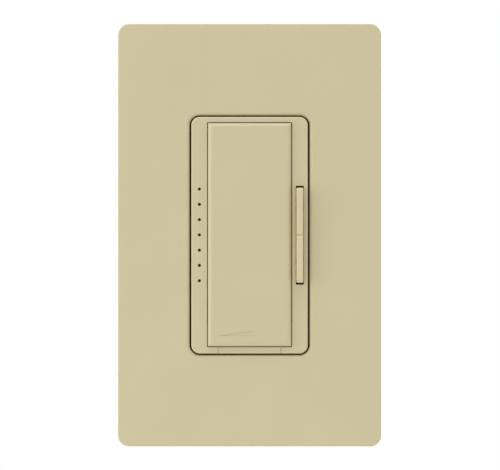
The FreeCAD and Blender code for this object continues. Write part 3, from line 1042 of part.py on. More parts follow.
def main():
    """Builds every node and writes it as its own STEP file."""
    os.makedirs("parts", exist_ok=True)
    for name, shape in all_nodes().items():
        solids = shape.Solids
        if not shape.isValid() or not solids or any(s.Volume <= 0 for s in solids):
            raise RuntimeError(f"{name} is not a valid closed solid")
        keep = solids[0] if len(solids) == 1 else Part.makeCompound(solids)
        keep.exportStep(f"parts/{name}.step")
        print(f"{name}: {len(solids)} solid(s), {sum(s.Volume for s in solids):.2f} mm3")


main()
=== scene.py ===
"""Looks for the wall dimmer: materials, detailed screws and winding, studio light and camera.

Everything is in metres in the part's own frame: +X right as seen from the room, +Y into the
wall, +Z up, with the origin on the wall between the two box screws.
"""

import math

import bmesh
import bpy
from mathutils import Matrix, Vector


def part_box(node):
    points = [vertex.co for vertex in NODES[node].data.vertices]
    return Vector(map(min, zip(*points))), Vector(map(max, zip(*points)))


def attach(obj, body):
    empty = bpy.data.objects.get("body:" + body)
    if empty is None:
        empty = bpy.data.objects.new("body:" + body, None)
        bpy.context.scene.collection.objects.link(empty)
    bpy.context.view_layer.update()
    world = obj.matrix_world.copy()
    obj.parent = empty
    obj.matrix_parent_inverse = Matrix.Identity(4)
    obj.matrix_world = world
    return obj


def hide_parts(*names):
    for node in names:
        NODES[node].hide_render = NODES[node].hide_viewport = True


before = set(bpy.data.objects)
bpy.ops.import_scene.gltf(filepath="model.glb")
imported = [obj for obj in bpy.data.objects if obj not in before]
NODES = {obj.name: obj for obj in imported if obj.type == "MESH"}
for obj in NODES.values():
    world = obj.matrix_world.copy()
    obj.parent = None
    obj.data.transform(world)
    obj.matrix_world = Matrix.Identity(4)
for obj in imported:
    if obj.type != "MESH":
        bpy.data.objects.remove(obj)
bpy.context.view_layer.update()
MM = 0.001

# The camera looks straight at the plate from the front
CAMERA_DISTANCE = 0.750
CAMERA_SIDE, CAMERA_HEIGHT = 0.12 * MM, 0.06 * MM
LENS_MM, SENSOR_MM = 192.6, 36.0

# Floor: height, half its width, and the distances where its fading starts and ends
FLOOR_Z, FLOOR_HALF = -0.170, 1.0
FLOOR_SOLID, FLOOR_GONE = 0.10, 0.90

# Ivory's two close tones, and the rocker's tone beside them: a little warmer and lighter
IVORY_TONES = (0.613, 0.547, 0.342), (0.601, 0.534, 0.332)
ROCKER_TINT = (1.09, 1.07, 1.045)

# Painted shade in the gap around the bezel: depths where it starts and is full, how far
# past the bezel it reaches, its colour, and the specular level outside and deep inside
GAP_TOP, GAP_DEEP, GAP_MARGIN = -6.6 * MM, -4.4 * MM, 1.2 * MM
GAP_PAINTED_SHADE = (0.080, 0.030, 0.001)
GAP_GLOSS = (0.5, 0.05)

# Small parts whose tinned ends are told apart by place
CHIP_ROWS, CHIP_LENGTH, CHIP_CAP = 5, 2.0 * MM, 0.4 * MM
CONTROLLER_PIN_REACH = 1.3 * MM

# Printing on the label: border inset, half the width of a line, and the heights of the rules
# as shares of the label's half height
LABEL_INSET, LABEL_LINE = 1.4 * MM, 0.12 * MM
LABEL_RULES = 0.55, 0.2, -0.15, -0.5

# 32 threads per inch; root and crest flats are shares of the pitch
THREAD_PITCH = 25.4 / 32 * MM
THREAD_DEPTH = 0.54 * THREAD_PITCH
THREAD_ROOT, THREAD_CREST = 0.125, 0.0625
THREAD_SIDES, THREAD_ROWS, THREAD_OVERLAP = 28, 12, 0.02 * MM
# For each pair of screws: depth where the thread starts, thread radius and point radius
BOX_THREAD = 0.6 * MM, 1.75 * MM, 1.2 * MM
ADAPTER_THREAD = -1.0 * MM, 1.68 * MM, 1.3 * MM

# Choke winding: start and sweep in degrees, and how square each turn is (1 is round)
WINDING_TURNS, WINDING_STEPS = 26, 28
WINDING_START, WINDING_SWEEP, WINDING_SQUARE = 20, 320, 0.45
WIRE_R, WIRE_GAP = 0.42 * MM, 0.03 * MM
CHOKE_BORE_SHARE = 5 / 9

# Solder behind the header's pins
SOLDER_PINS, PIN_HALF_W = 6, 0.3 * MM
SOLDER_FOOT_R, SOLDER_TIP_R, SOLDER_H = 0.75 * MM, 0.42 * MM, 0.5 * MM

# Mesh: vertices nearer than this are one, and edges sharper than this stay sharp
SAME_PLACE = 1e-7
SHARP_FROM = math.radians(38)

# Studio lights: place, aim, size and watts
AIM_FRONT, AIM_BACK = (0.0, -0.008, 0.0), (0.0, 0.02, 0.0)
LIGHTS = {
    "left_low": ((-0.75, -0.26, 0.05), AIM_FRONT, (0.30, 0.70), 1.85),
    "left_front": ((-0.60, -0.62, 0.10), AIM_FRONT, (0.45, 0.55), 1.48),
    "top_low": ((-0.05, -0.24, 0.75), AIM_FRONT, (0.90, 0.30), 2.95),
    "top_front": ((0.0, -0.62, 0.60), AIM_FRONT, (0.60, 0.40), 0.80),
    "right_low": ((0.75, -0.26, 0.0), AIM_FRONT, (0.30, 0.70), 0.80),
    "right_front": ((0.60, -0.62, 0.0), AIM_FRONT, (0.45, 0.55), 0.57),
    "behind_left": ((-0.50, 0.60, 0.35), AIM_BACK, (0.50, 0.50), 3.0),
    "behind_right": ((0.55, 0.50, 0.25), AIM_BACK, (0.50, 0.50), 4.0),
}

# Strength of the white surroundings as the camera sees them, and as they light the dimmer
WHITE_SEEN, WHITE_CAST = 1.0, 0.35


# ---------------------------------------------------------------- node helpers
def new_material(name):
    """Empty node material with one principled shader."""
    mat = bpy.data.materials.new(name)
    mat.use_nodes = True
    tree = mat.node_tree
    shader = next(n for n in tree.nodes if n.type == "BSDF_PRINCIPLED")
    return mat, tree, shader


def set_inputs(shader, **values):
    """Sets uniform shader inputs, written with _ in place of each space."""
    for key, value in values.items():
        shader.inputs[key.replace("_", " ")].default_value = value


def rgba(color):
    """Colour with full alpha."""
    return (*color, 1.0)


def position(tree, stretch=(1.0, 1.0, 1.0)):
    """Place on the piece in its own frame, scaled along each axis."""
    coords = tree.nodes.new("ShaderNodeTexCoord")
    mapping = tree.nodes.new("ShaderNodeMapping")
    mapping.inputs["Scale"].default_value = stretch
    tree.links.new(coords.outputs["Object"], mapping.inputs["Vector"])
    return mapping.outputs["Vector"]


def noise(tree, size_mm, detail, stretch=(1.0, 1.0, 1.0)):
    """Cloudy noise whose features are about size_mm across."""
    node = tree.nodes.new("ShaderNodeTexNoise")
    node.inputs["Scale"].default_value = 1.0 / (size_mm * MM)
    node.inputs["Detail"].default_value = detail
    tree.links.new(position(tree, stretch), node.inputs["Vector"])
    return node.outputs["Fac"]


def remap(tree, value, low, high, start=0.3, end=0.7):
    """Takes value from start..end to low..high."""
    node = tree.nodes.new("ShaderNodeMapRange")
    node.inputs["From Min"].default_value = start
    node.inputs["From Max"].default_value = end
    node.inputs["To Min"].default_value = low
    node.inputs["To Max"].default_value = high
    tree.links.new(value, node.inputs["Value"])
    return node.outputs["Result"]


def blend(tree, factor, color_a, color_b):
    """Colour that goes from color_a to color_b; each is a colour or an output."""
    node = tree.nodes.new("ShaderNodeMix")
    node.data_type = "RGBA"
    tree.links.new(factor, node.inputs["Factor"])
    sockets = [s for s in node.inputs if s.type == "RGBA"]
    for socket, color in zip(sockets, (color_a, color_b)):
        if isinstance(color, bpy.types.NodeSocket):
            tree.links.new(color, socket)
        else:
            socket.default_value = rgba(color)
    return next(s for s in node.outputs if s.type == "RGBA")


def math_node(tree, operation, a, b=0.0):
    """One arithmetic step on values or outputs."""
    node = tree.nodes.new("ShaderNodeMath")
    node.operation = operation
    for socket, value in zip(node.inputs, (a, b)):
        if isinstance(value, bpy.types.NodeSocket):
            tree.links.new(value, socket)
        else:
            socket.default_value = value
    return node.outputs[0]


def place_of(tree):
    """Separate X, Y and Z of the place on the piece."""
    split = tree.nodes.new("ShaderNodeSeparateXYZ")
    tree.links.new(position(tree), split.inputs[0])
    return split.outputs


def relief(tree, shader, layers):
    """Bump from layers of (height output, depth in mm), fine detail first."""
    normal = None
    for height, depth_mm in layers:
        bump = tree.nodes.new("ShaderNodeBump")
        bump.inputs["Strength"].default_value = 1.0
        bump.inputs["Distance"].default_value = depth_mm * MM
        tree.links.new(height, bump.inputs["Height"])
        if normal is not None:
            tree.links.new(normal, bump.inputs["Normal"])
        normal = bump.outputs["Normal"]
    tree.links.new(normal, shader.inputs["Normal"])


def paint(name, color_a, color_b, size_mm, rough, **uniform):
    """Material whose colour drifts between two close tones and whose gloss drifts with it."""
    mat, tree, shader = new_material(name)
    drift = remap(tree, noise(tree, size_mm, 3.0), 0, 1)
    tree.links.new(blend(tree, drift, color_a, color_b), shader.inputs["Base Color"])
    gloss = noise(tree, size_mm * 0.35, 2.0)
    tree.links.new(remap(tree, gloss, rough[0], rough[1]), shader.inputs["Roughness"])
    set_inputs(shader, **uniform)
    return mat, tree, shader


# ---------------------------------------------------------------- materials
def painted_gap_shade(tree):
    """Mask of the painted shade: 0 on the visible faces, rising to 1 with depth in the gap around the
    bezel.
    """
    place = place_of(tree)
    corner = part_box("bezel")[1]
    inside = remap(tree, place["Y"], 0.0, 1.0, GAP_TOP, GAP_DEEP)
    for axis, half in (("X", corner.x), ("Z", corner.z)):
        away = math_node(tree, "ABSOLUTE", place[axis])
        near = math_node(tree, "LESS_THAN", away, half + GAP_MARGIN)
        inside = math_node(tree, "MULTIPLY", inside, near)
    return inside


def ivory(name, rough, grain_mm, grain_depth_mm, shade=False, tint=(1.0, 1.0, 1.0)):
    """Moulded ivory plastic: almost even, faintly cloudy, with a fine mould texture; with shade, painted
    shade darkens it deep in the gap around the bezel.
    """
    light, dark = ([c * t for c, t in zip(tone, tint)] for tone in IVORY_TONES)
    mat, tree, shader = paint(name, light, dark, 14.0, rough, IOR=1.5)
    if shade:
        # Painted shade: the base colour turns dark brown and the reflection dulls deep in the gap around
        # the bezel
        deep = painted_gap_shade(tree)
        cloudy = shader.inputs["Base Color"].links[0].from_socket
        tree.links.new(blend(tree, deep, cloudy, GAP_PAINTED_SHADE), shader.inputs["Base Color"])
        tree.links.new(remap(tree, deep, *GAP_GLOSS, 0.0, 1.0), shader.inputs["Specular IOR Level"])
    relief(tree, shader, [(noise(tree, grain_mm, 2.0), grain_depth_mm)])
    return mat


def brushed_metal(name, tone_a, tone_b, rough, stretch):
    """Metal with fine lines along the axis whose stretch is small."""
    mat, tree, shader = new_material(name)
    set_inputs(shader, Metallic=1.0)
    lines = noise(tree, 0.35, 3.0, stretch)
    cloud = remap(tree, noise(tree, 12.0, 3.0), 0, 1)
    tree.links.new(blend(tree, cloud, tone_a, tone_b), shader.inputs["Base Color"])
    tree.links.new(remap(tree, lines, rough[0], rough[1]), shader.inputs["Roughness"])
    relief(tree, shader, [(lines, 0.004)])
    return mat


def plated_metal(name, tone_a, tone_b, rough, size_mm=4.0):
    """Plated or dyed metal, with soft patches of tone and faint waviness."""
    mat, tree, shader = paint(name, tone_a, tone_b, size_mm, rough, Metallic=1.0)
    relief(tree, shader, [(noise(tree, 0.15, 2.0), 0.0012), (noise(tree, 1.2, 1.0), 0.003)])
    return mat


def moulded_black(name, tone, rough, grain_mm, depth_mm):
    """Black moulding with an even spark-eroded texture."""
    lighter = tuple(c * 1.2 + 0.002 for c in tone)
    mat, tree, shader = paint(name, tone, lighter, 9.0, rough, IOR=1.5)
    relief(tree, shader, [(noise(tree, grain_mm, 3.0), depth_mm)])
    return mat


def clear_acrylic():
    """Clear light pipe; unlit, it looks dark from outside, and its dark warm tint is painted shade that
    deepens this.
    """
    mat, tree, shader = new_material("clear_acrylic")
    set_inputs(shader, Transmission_Weight=1.0, IOR=1.49)
    # Painted shade: a dark warm brown tint stands in for the shade inside the unlit holes
    shader.inputs["Base Color"].default_value = rgba((0.27, 0.22, 0.14))
    tree.links.new(remap(tree, noise(tree, 0.5, 2.0), 0.04, 0.12), shader.inputs["Roughness"])
    relief(tree, shader, [(noise(tree, 1.5, 1.0), 0.01)])
    return mat


def circuit_board(name):
    """Green solder mask over a maze of slightly raised, lighter tracks."""
    mat, tree, shader = new_material(name)
    cells = tree.nodes.new("ShaderNodeTexVoronoi")
    cells.distance = "CHEBYCHEV"
    cells.feature = "F1"
    cells.inputs["Scale"].default_value = 1.0 / (2.54 * MM)
    tree.links.new(position(tree, (1.0, 0.0, 1.0)), cells.inputs["Vector"])
    edge = remap(tree, cells.outputs["Distance"], 0, 1, 0.30, 0.36)
    cloud = remap(tree, noise(tree, 8.0, 2.0), 0, 1)
    base = blend(tree, cloud, (0.012, 0.11, 0.045), (0.016, 0.13, 0.05))
    tree.links.new(blend(tree, edge, base, (0.03, 0.22, 0.085)), shader.inputs["Base Color"])
    tree.links.new(remap(tree, noise(tree, 0.4, 2.0), 0.25, 0.4), shader.inputs["Roughness"])
    set_inputs(shader, IOR=1.55, Coat_Weight=0.35, Coat_Roughness=0.15)
    relief(tree, shader, [(edge, 0.03), (noise(tree, 0.3, 2.0), 0.005)])
    return mat


def tinned_where(name, mask_of):
    """Dark epoxy that is tinned metal where a mask of place is 1."""
    mat, tree, shader = new_material(name)
    mask = mask_of(tree, place_of(tree))
    speck = remap(tree, noise(tree, 0.3, 2.0), 0, 1)
    body = blend(tree, speck, (0.015, 0.015, 0.017), (0.03, 0.03, 0.032))
    metal = blend(tree, speck, (0.66, 0.66, 0.64), (0.56, 0.56, 0.55))
    tree.links.new(blend(tree, mask, body, metal), shader.inputs["Base Color"])
    tree.links.new(mask, shader.inputs["Metallic"])
    tree.links.new(remap(tree, noise(tree, 0.2, 2.0), 0.28, 0.48), shader.inputs["Roughness"])
    relief(tree, shader, [(noise(tree, 0.15, 2.0), 0.01)])
    return mat


def chip_ends(tree, place):
    """1 on the two end caps of each chip in the rows of small parts."""
    low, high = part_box("chip_resistors")
    pitch = (high.z - low.z - CHIP_LENGTH) / (CHIP_ROWS - 1)
    up = math_node(tree, "SUBTRACT", place["Z"], low.z + CHIP_LENGTH / 2 - pitch / 2)
    within = math_node(tree, "FLOORED_MODULO", up, pitch)
    away = math_node(tree, "ABSOLUTE", math_node(tree, "SUBTRACT", within, pitch / 2))
    return math_node(tree, "GREATER_THAN", away, CHIP_LENGTH / 2 - CHIP_CAP)


def controller_pins(tree, place):
    """1 on the two rows of pins that stand out of the controller."""
    low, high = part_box("controller_chip")
    across = math_node(tree, "SUBTRACT", place["X"], (low.x + high.x) / 2)
    away = math_node(tree, "ABSOLUTE", across)
    return math_node(tree, "GREATER_THAN", away, (high.x - low.x) / 2 - CONTROLLER_PIN_REACH)


def fibre_sheet():
    """Grey vulcanised fibre with long faint fibres."""
    mat, tree, shader = paint("fish_paper", (0.055, 0.056, 0.06), (0.085, 0.085, 0.09), 3.0, (0.55, 0.75))
    fibres = noise(tree, 0.3, 4.0, (1.0, 1.0, 0.2))
    relief(tree, shader, [(fibres, 0.02)])
    return mat


def ruled_label():
    """Blank label: off-white film with a printed border and ruled fields, no lettering."""
    low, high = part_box("rating_label")
    mat, tree, shader = new_material("label_film")
    place = place_of(tree)
    middle = (low + high) / 2
    up = math_node(tree, "SUBTRACT", place["Z"], middle.z)
    from_middle = {
        "X": math_node(tree, "ABSOLUTE", math_node(tree, "SUBTRACT", place["X"], middle.x)),
        "Z": math_node(tree, "ABSOLUTE", up),
    }
    border = {"X": high.x - middle.x - LABEL_INSET, "Z": high.z - middle.z - LABEL_INSET}
    marks = [math_node(tree, "COMPARE", from_middle[axis], border[axis]) for axis in "XZ"]
    for share in LABEL_RULES:
        marks.append(math_node(tree, "COMPARE", up, share * (high.z - middle.z)))
    for mark in marks:
        mark.node.inputs[2].default_value = LABEL_LINE
    ink = marks[0]
    for mark in marks[1:]:
        ink = math_node(tree, "MAXIMUM", ink, mark)
    for axis in "XZ":
        within = math_node(tree, "LESS_THAN", from_middle[axis], border[axis] + LABEL_LINE)
        ink = math_node(tree, "MULTIPLY", ink, within)
    cloud = remap(tree, noise(tree, 5.0, 2.0), 0, 1)
    film = blend(tree, cloud, (0.70, 0.70, 0.67), (0.66, 0.66, 0.63))
    tree.links.new(blend(tree, ink, film, (0.05, 0.05, 0.055)), shader.inputs["Base Color"])
    tree.links.new(remap(tree, noise(tree, 0.8, 2.0), 0.35, 0.5), shader.inputs["Roughness"])
    relief(tree, shader, [(noise(tree, 0.5, 2.0), 0.004)])
    return mat


# Metals: name, two tones, roughness range and, where it isn't 4 mm, the patches' size in mm
METALS = {
    "rivet": ("rivet_aluminium", (0.74, 0.75, 0.76), (0.66, 0.67, 0.68), (0.25, 0.38)),
    "zinc": ("zinc_plate", (0.60, 0.59, 0.55), (0.50, 0.50, 0.49), (0.22, 0.38)),
    "brass": ("bright_brass", (0.78, 0.56, 0.22), (0.70, 0.47, 0.17), (0.20, 0.34)),
    "bronze": ("contact_bronze", (0.72, 0.44, 0.22), (0.62, 0.36, 0.17), (0.22, 0.36)),
    "black_oxide": ("black_oxide", (0.030, 0.030, 0.032), (0.055, 0.053, 0.052), (0.30, 0.45)),
    "green_dye": ("green_dye", (0.05, 0.33, 0.10), (0.03, 0.24, 0.07), (0.28, 0.42)),
    "blue_dye": ("blue_dye", (0.06, 0.15, 0.50), (0.04, 0.10, 0.38), (0.28, 0.42)),
    "tin": ("tinned_lead", (0.70, 0.70, 0.68), (0.60, 0.60, 0.59), (0.25, 0.40), 0.8),
}

# Black mouldings: name, tone, roughness range, grain size and grain depth in mm
BLACKS = {
    "cover": ("cover_black", (0.013, 0.013, 0.014), (0.46, 0.54), 0.22, 0.012),
    "switch": ("switch_black", (0.010, 0.010, 0.011), (0.40, 0.55), 0.15, 0.008),
    "epoxy": ("epoxy_black", (0.013, 0.013, 0.014), (0.45, 0.62), 0.12, 0.01),
    "ferrite": ("ferrite_grey", (0.03, 0.03, 0.033), (0.40, 0.6), 0.3, 0.03),
    "sleeve": ("capacitor_sleeve", (0.010, 0.013, 0.03), (0.22, 0.32), 0.5, 0.004),
}

# Plain coatings and resins: name, two tones, size of the patches in mm and roughness range
COATS = {
    "plunger": ("switch_plunger", (0.70, 0.69, 0.64), (0.64, 0.63, 0.58), 1.0, (0.35, 0.5)),
    "lamp": ("lamp_resin", (0.80, 0.78, 0.60), (0.72, 0.70, 0.52), 0.8, (0.15, 0.3)),
    "pad": ("thermal_pad", (0.22, 0.26, 0.32), (0.17, 0.20, 0.26), 1.5, (0.6, 0.8)),
    "film": ("film_box", (0.62, 0.07, 0.03), (0.52, 0.05, 0.02), 4.0, (0.22, 0.35)),
    "varistor": ("varistor_dip", (0.03, 0.10, 0.36), (0.02, 0.07, 0.27), 1.2, (0.25, 0.4)),
    "resistor": ("resistor_cement", (0.12, 0.25, 0.14), (0.09, 0.19, 0.10), 0.8, (0.5, 0.7)),
}


def coat(name, tone_a, tone_b, size_mm, rough, **uniform):
    """Coating or resin with patches of tone and a faint unevenness a quarter of their size."""
    mat, tree, shader = paint(name, tone_a, tone_b, size_mm, rough, IOR=1.5, **uniform)
    relief(tree, shader, [(noise(tree, size_mm * 0.25, 2.0), 0.01)])
    return mat


def build_materials():
    """Every finish by name."""
    made = {
        # Plate and bezel carry the painted shade in the gap around the bezel
        "plate": ivory("plate_ivory", (0.42, 0.50), 0.35, 0.006, shade=True),
        "adapter": ivory("adapter_ivory", (0.50, 0.60), 0.5, 0.015),
        "bezel": ivory("bezel_ivory", (0.40, 0.48), 0.35, 0.005, shade=True),
        "paddle": ivory("paddle_ivory", (0.34, 0.42), 0.4, 0.004),
        "rocker": ivory("rocker_ivory", (0.34, 0.42), 0.4, 0.004, tint=ROCKER_TINT),
        "yoke": brushed_metal(
            "yoke_aluminium", (0.72, 0.73, 0.74), (0.62, 0.63, 0.645), (0.28, 0.42), (1.0, 1.0, 0.03)),
        "copper": coat(
            "enamelled_copper", (0.58, 0.19, 0.06), (0.46, 0.13, 0.035), 0.9, (0.12, 0.25),
            Metallic=0.9, Coat_Weight=0.6, Coat_Roughness=0.1),
        "board": circuit_board("solder_mask"),
        "chip": tinned_where("chip_resistor", chip_ends),
        "controller": tinned_where("controller_epoxy", controller_pins),
        "acrylic": clear_acrylic(),
        "fibre": fibre_sheet(),
        "label": ruled_label(),
    }
    for make, table in ((plated_metal, METALS), (moulded_black, BLACKS), (coat, COATS)):
        for key, look in table.items():
            made[key] = make(*look)
    return made


# Finish of every CAD node
FINISH = {
    "wallplate": "plate", "wallplate_adapter": "adapter", "adapter_screws": "zinc",
    "yoke": "yoke", "box_screws": "zinc", "ground_screw": "green_dye",
    "insulating_sheet": "fibre", "bezel": "bezel", "light_pipe": "acrylic",
    "tapswitch": "paddle", "tap_switch_body": "switch", "tap_switch_plunger": "plunger",
    "dimming_rocker": "rocker", "rocker_switch_bodies": "switch",
    "raise_switch_plunger": "plunger", "lower_switch_plunger": "plunger",
    "service_switch": "bezel", "airgap_contact_arm": "bronze", "airgap_arm_bracket": "bronze",
    "airgap_arm_pin": "zinc", "airgap_arm_spring": "zinc", "airgap_fixed_contact": "bronze",
    "control_board": "board", "power_board": "board", "board_header_pins": "tin",
    "board_header_body": "switch", "level_lights": "lamp", "controller_chip": "controller",
    "chip_resistors": "chip", "triac_body": "epoxy", "triac_tab_and_leads": "tin",
    "triac_pad": "pad", "triac_rivet": "rivet", "choke_core": "ferrite",
    "choke_winding": "copper", "film_capacitor": "film", "supply_capacitor": "sleeve",
    "varistor": "varistor", "fuse_resistor": "resistor", "back_cover": "cover",
    "cover_screws": "zinc", "terminal_plates": "brass", "terminal_screw_line": "black_oxide",
    "terminal_screw_load": "brass", "terminal_screw_traveler": "blue_dye",
    "rating_label": "label",
}


def dress(obj, material):
    """Puts one material on a whole object."""
    if not obj.material_slots:
        obj.data.materials.append(material)
    for slot in obj.material_slots:
        slot.material = material


# ---------------------------------------------------------------- threaded screws
def thread_radius(turn, major, depth):
    """Radius of a 60 degree thread at a fraction of one turn past its root."""
    away = abs(turn % 1.0 - 0.5)
    rise = (0.5 - THREAD_ROOT - away) / (0.5 - THREAD_ROOT - THREAD_CREST)
    return major - depth * (1.0 - min(1.0, max(0.0, rise)))


def add_thread(mesh, x, z, y0, y1, major, point_r):
    """Adds a threaded rod along +Y to a bmesh, with run-out at its start and a bevelled end."""
    count = int((y1 - y0) / THREAD_PITCH * THREAD_ROWS)
    rings = []
    for row in range(count + 1):
        y = y0 + (y1 - y0) * row / count
        run_out = min(1.0, (y - y0) / THREAD_PITCH)
        limit = min(major, point_r + (y1 - y))
        ring = []
        for side in range(THREAD_SIDES):
            angle = 2 * math.pi * side / THREAD_SIDES
            turn = (y - y0) / THREAD_PITCH - side / THREAD_SIDES
            r = min(limit, thread_radius(turn, major, THREAD_DEPTH * run_out))
            ring.append(mesh.verts.new((x + r * math.cos(angle), y, z + r * math.sin(angle))))
        rings.append(ring)
    for low, high in zip(rings, rings[1:]):
        for i in range(THREAD_SIDES):
            j = (i + 1) % THREAD_SIDES
            mesh.faces.new((low[i], high[i], high[j], low[j]))
    mesh.faces.new(rings[0])
    mesh.faces.new(list(reversed(rings[-1])))


def keep_in_front(node, y):
    """Copy of a CAD node's mesh, closed off where the plane at depth y cuts it."""
    mesh = bmesh.new()
    mesh.from_mesh(NODES[node].data)
    bmesh.ops.remove_doubles(mesh, verts=mesh.verts, dist=SAME_PLACE)
    everything = mesh.verts[:] + mesh.edges[:] + mesh.faces[:]
    cut = bmesh.ops.bisect_plane(
        mesh, geom=everything, plane_co=(0, y, 0), plane_no=(0, 1, 0), clear_outer=True)
    edges = [g for g in cut["geom_cut"] if isinstance(g, bmesh.types.BMEdge)]
    bmesh.ops.holes_fill(mesh, edges=edges)
    return mesh


def threaded_screws(name, node, y_cut, major, point_r):
    """Stands for a CAD node of two screws: the same heads, with a real helical thread."""
    low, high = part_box(node)
    mesh = keep_in_front(node, y_cut)
    head_r = (high.x - low.x) / 2
    for z in (low.z + head_r, high.z - head_r):
        add_thread(mesh, (low.x + high.x) / 2, z, y_cut - THREAD_OVERLAP, high.y, major, point_r)
    return finish_piece(name, mesh, node)


# ---------------------------------------------------------------- choke winding
def winding_path():
    """Points of one continuous wire wound round the ring, with both ends led to the board."""
    low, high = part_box("choke_core")
    centre = (low + high) / 2
    outer = (high.x - low.x) / 2
    bore = outer * CHOKE_BORE_SHARE
    middle, half_r = (outer + bore) / 2, (outer - bore) / 2 + WIRE_R + WIRE_GAP
    half_y = (high.y - low.y) / 2 + WIRE_R + WIRE_GAP
    count = WINDING_TURNS * WINDING_STEPS
    points = []
    for i in range(count + 1):
        around = math.radians(WINDING_START + WINDING_SWEEP * i / count)
        turn = 2 * math.pi * i / WINDING_STEPS
        c, s = math.cos(turn), math.sin(turn)
        r = middle + half_r * math.copysign(abs(c) ** WINDING_SQUARE, c)
        y = centre.y + half_y * math.copysign(abs(s) ** WINDING_SQUARE, s)
        points.append(Vector((centre.x + r * math.cos(around), y, centre.z + r * math.sin(around))))
    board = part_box("power_board")[0].y
    first, last = points[0], points[-1]
    lead_in = [Vector((first.x, board, first.z)), Vector((first.x, (board + first.y) / 2, first.z))]
    lead_out = [Vector((last.x, (board + last.y) / 2, last.z)), Vector((last.x, board, last.z))]
    return lead_in + points + lead_out


def wound_choke():
    """One continuous enamelled winding in place of the separate CAD loops."""
    curve = bpy.data.curves.new("winding_path", "CURVE")
    curve.dimensions = "3D"
    curve.bevel_depth, curve.bevel_resolution = WIRE_R, 2
    curve.use_fill_caps = True
    path = winding_path()
    spline = curve.splines.new("POLY")
    spline.points.add(len(path) - 1)
    for point, place in zip(spline.points, path):
        point.co = (*place, 1.0)
    holder = bpy.data.objects.new("winding_path", curve)
    bpy.context.scene.collection.objects.link(holder)
    mesh = bmesh.new()
    mesh.from_mesh(bpy.data.meshes.new_from_object(holder))
    bpy.data.objects.remove(holder)
    return finish_piece("choke_coil", mesh, "choke_winding")


# ---------------------------------------------------------------- solder joints
def solder_joints():
    """Small cones of solder where the header's pins come through the back of the power board."""
    low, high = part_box("board_header_pins")
    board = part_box("power_board")[1].y
    first, last = low.x + PIN_HALF_W, high.x - PIN_HALF_W
    tilt = Matrix.Rotation(math.radians(-90), 4, "X")
    mesh = bmesh.new()
    for i in range(SOLDER_PINS):
        x = first + (last - first) * i / (SOLDER_PINS - 1)
        place = Matrix.Translation((x, board + SOLDER_H / 2, (low.z + high.z) / 2))
        bmesh.ops.create_cone(
            mesh, cap_ends=True, segments=20, radius1=SOLDER_FOOT_R, radius2=SOLDER_TIP_R,
            depth=SOLDER_H, matrix=place @ tilt)
    return finish_piece("solder_joints", mesh, None)


def finish_piece(name, mesh, node):
    """Turns a bmesh into a smooth piece on the fixed body, standing for a node if one is named."""
    bmesh.ops.recalc_face_normals(mesh, faces=mesh.faces)
    data = bpy.data.meshes.new(name)
    mesh.to_mesh(data)
    mesh.free()
    data.set_sharp_from_angle(angle=SHARP_FROM)
    for polygon in data.polygons:
        polygon.use_smooth = True
    piece = bpy.data.objects.new(name, data)
    bpy.context.scene.collection.objects.link(piece)
    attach(piece, "dimmer")
    if node:
        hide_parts(node)
    return piece


# ---------------------------------------------------------------- stage
def area_light(name, place, target, size, watts):
    """Soft rectangular light that faces a target."""
    data = bpy.data.lights.new(name, "AREA")
    data.shape = "RECTANGLE"
    data.size, data.size_y = size
    data.energy = watts
    light = bpy.data.objects.new(name, data)
    bpy.context.scene.collection.objects.link(light)
    light.location = place
    light.rotation_euler = (Vector(target) - Vector(place)).to_track_quat("-Z", "Y").to_euler()


def studio():
    """Soft light from the left and above, less from the right, and two lights behind."""
    for name, setting in LIGHTS.items():
        area_light(name, *setting)


def surroundings():
    """White surroundings: full white where the camera sees them, softer as light."""
    world = bpy.data.worlds.new("white_room")
    bpy.context.scene.world = world
    world.use_nodes = True
    tree = world.node_tree
    tree.nodes.clear()
    whites = []
    for strength in (WHITE_CAST, WHITE_SEEN):
        white = tree.nodes.new("ShaderNodeBackground")
        white.inputs["Strength"].default_value = strength
        white.inputs["Color"].default_value = rgba((1.0, 1.0, 1.0))
        whites.append(white)
    path, mix = tree.nodes.new("ShaderNodeLightPath"), tree.nodes.new("ShaderNodeMixShader")
    out = tree.nodes.new("ShaderNodeOutputWorld")
    tree.links.new(path.outputs["Is Camera Ray"], mix.inputs["Fac"])
    for white, socket in zip(whites, mix.inputs[1:]):
        tree.links.new(white.outputs[0], socket)
    tree.links.new(mix.outputs[0], out.inputs["Surface"])


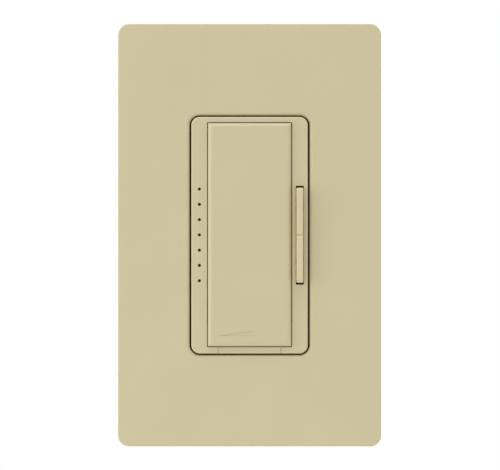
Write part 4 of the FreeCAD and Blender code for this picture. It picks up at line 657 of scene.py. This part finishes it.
def floor_paper():
    """Pale paper that fades into the white surroundings far from the dimmer."""
    mat, tree, shader = paint("floor_paper", (0.86, 0.86, 0.855), (0.84, 0.84, 0.835), 60.0, (0.7, 0.8))
    relief(tree, shader, [(noise(tree, 1.5, 3.0), 0.05)])
    distance = tree.nodes.new("ShaderNodeVectorMath")
    distance.operation = "LENGTH"
    tree.links.new(position(tree, (1.0, 1.0, 0.0)), distance.inputs[0])
    fade = remap(tree, distance.outputs["Value"], 0.0, 1.0, FLOOR_SOLID, FLOOR_GONE)
    fade.node.interpolation_type = "SMOOTHSTEP"
    clear, mix = tree.nodes.new("ShaderNodeBsdfTransparent"), tree.nodes.new("ShaderNodeMixShader")
    out = next(n for n in tree.nodes if n.type == "OUTPUT_MATERIAL")
    tree.links.new(fade, mix.inputs["Fac"])
    tree.links.new(shader.outputs[0], mix.inputs[1])
    tree.links.new(clear.outputs[0], mix.inputs[2])
    tree.links.new(mix.outputs[0], out.inputs["Surface"])
    return mat


def floor():
    """Plain pale floor well below the dimmer."""
    mesh = bpy.data.meshes.new("floor")
    signs = ((-1, -1), (1, -1), (1, 1), (-1, 1))
    corners = [(a * FLOOR_HALF, b * FLOOR_HALF, FLOOR_Z) for a, b in signs]
    mesh.from_pydata(corners, [], [(0, 1, 2, 3)])
    plane = bpy.data.objects.new("floor", mesh)
    bpy.context.scene.collection.objects.link(plane)
    dress(plane, floor_paper())


def camera():
    """Long lens straight in front of the plate."""
    data = bpy.data.cameras.new("camera")
    data.lens, data.sensor_width = LENS_MM, SENSOR_MM
    data.clip_start = 0.01
    cam = bpy.data.objects.new("camera", data)
    bpy.context.scene.collection.objects.link(cam)
    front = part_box("bezel")[0].y
    cam.location = (CAMERA_SIDE, front - CAMERA_DISTANCE, CAMERA_HEIGHT)
    cam.rotation_euler = (math.radians(90), 0.0, 0.0)
    bpy.context.scene.camera = cam


# ---------------------------------------------------------------- assembly
camera()
materials = build_materials()
for node_name, finish in FINISH.items():
    dress(NODES[node_name], materials[finish])
# Each added piece with its finish and its slot
added = (
    (threaded_screws("threaded_box_screws", "box_screws", *BOX_THREAD), "zinc", "plated_steel"),
    (threaded_screws("threaded_adapter_screws", "adapter_screws", *ADAPTER_THREAD), "zinc", "plated_steel"),
    (wound_choke(), "copper", "enamelled_copper"),
    (solder_joints(), "tin", "tinned_lead"),
)
for piece, finish, slot_name in added:
    dress(piece, materials[finish])
studio()
surroundings()
floor()
bpy.context.scene.view_settings.view_transform = "Standard"
bpy.context.scene.view_settings.look = "None"
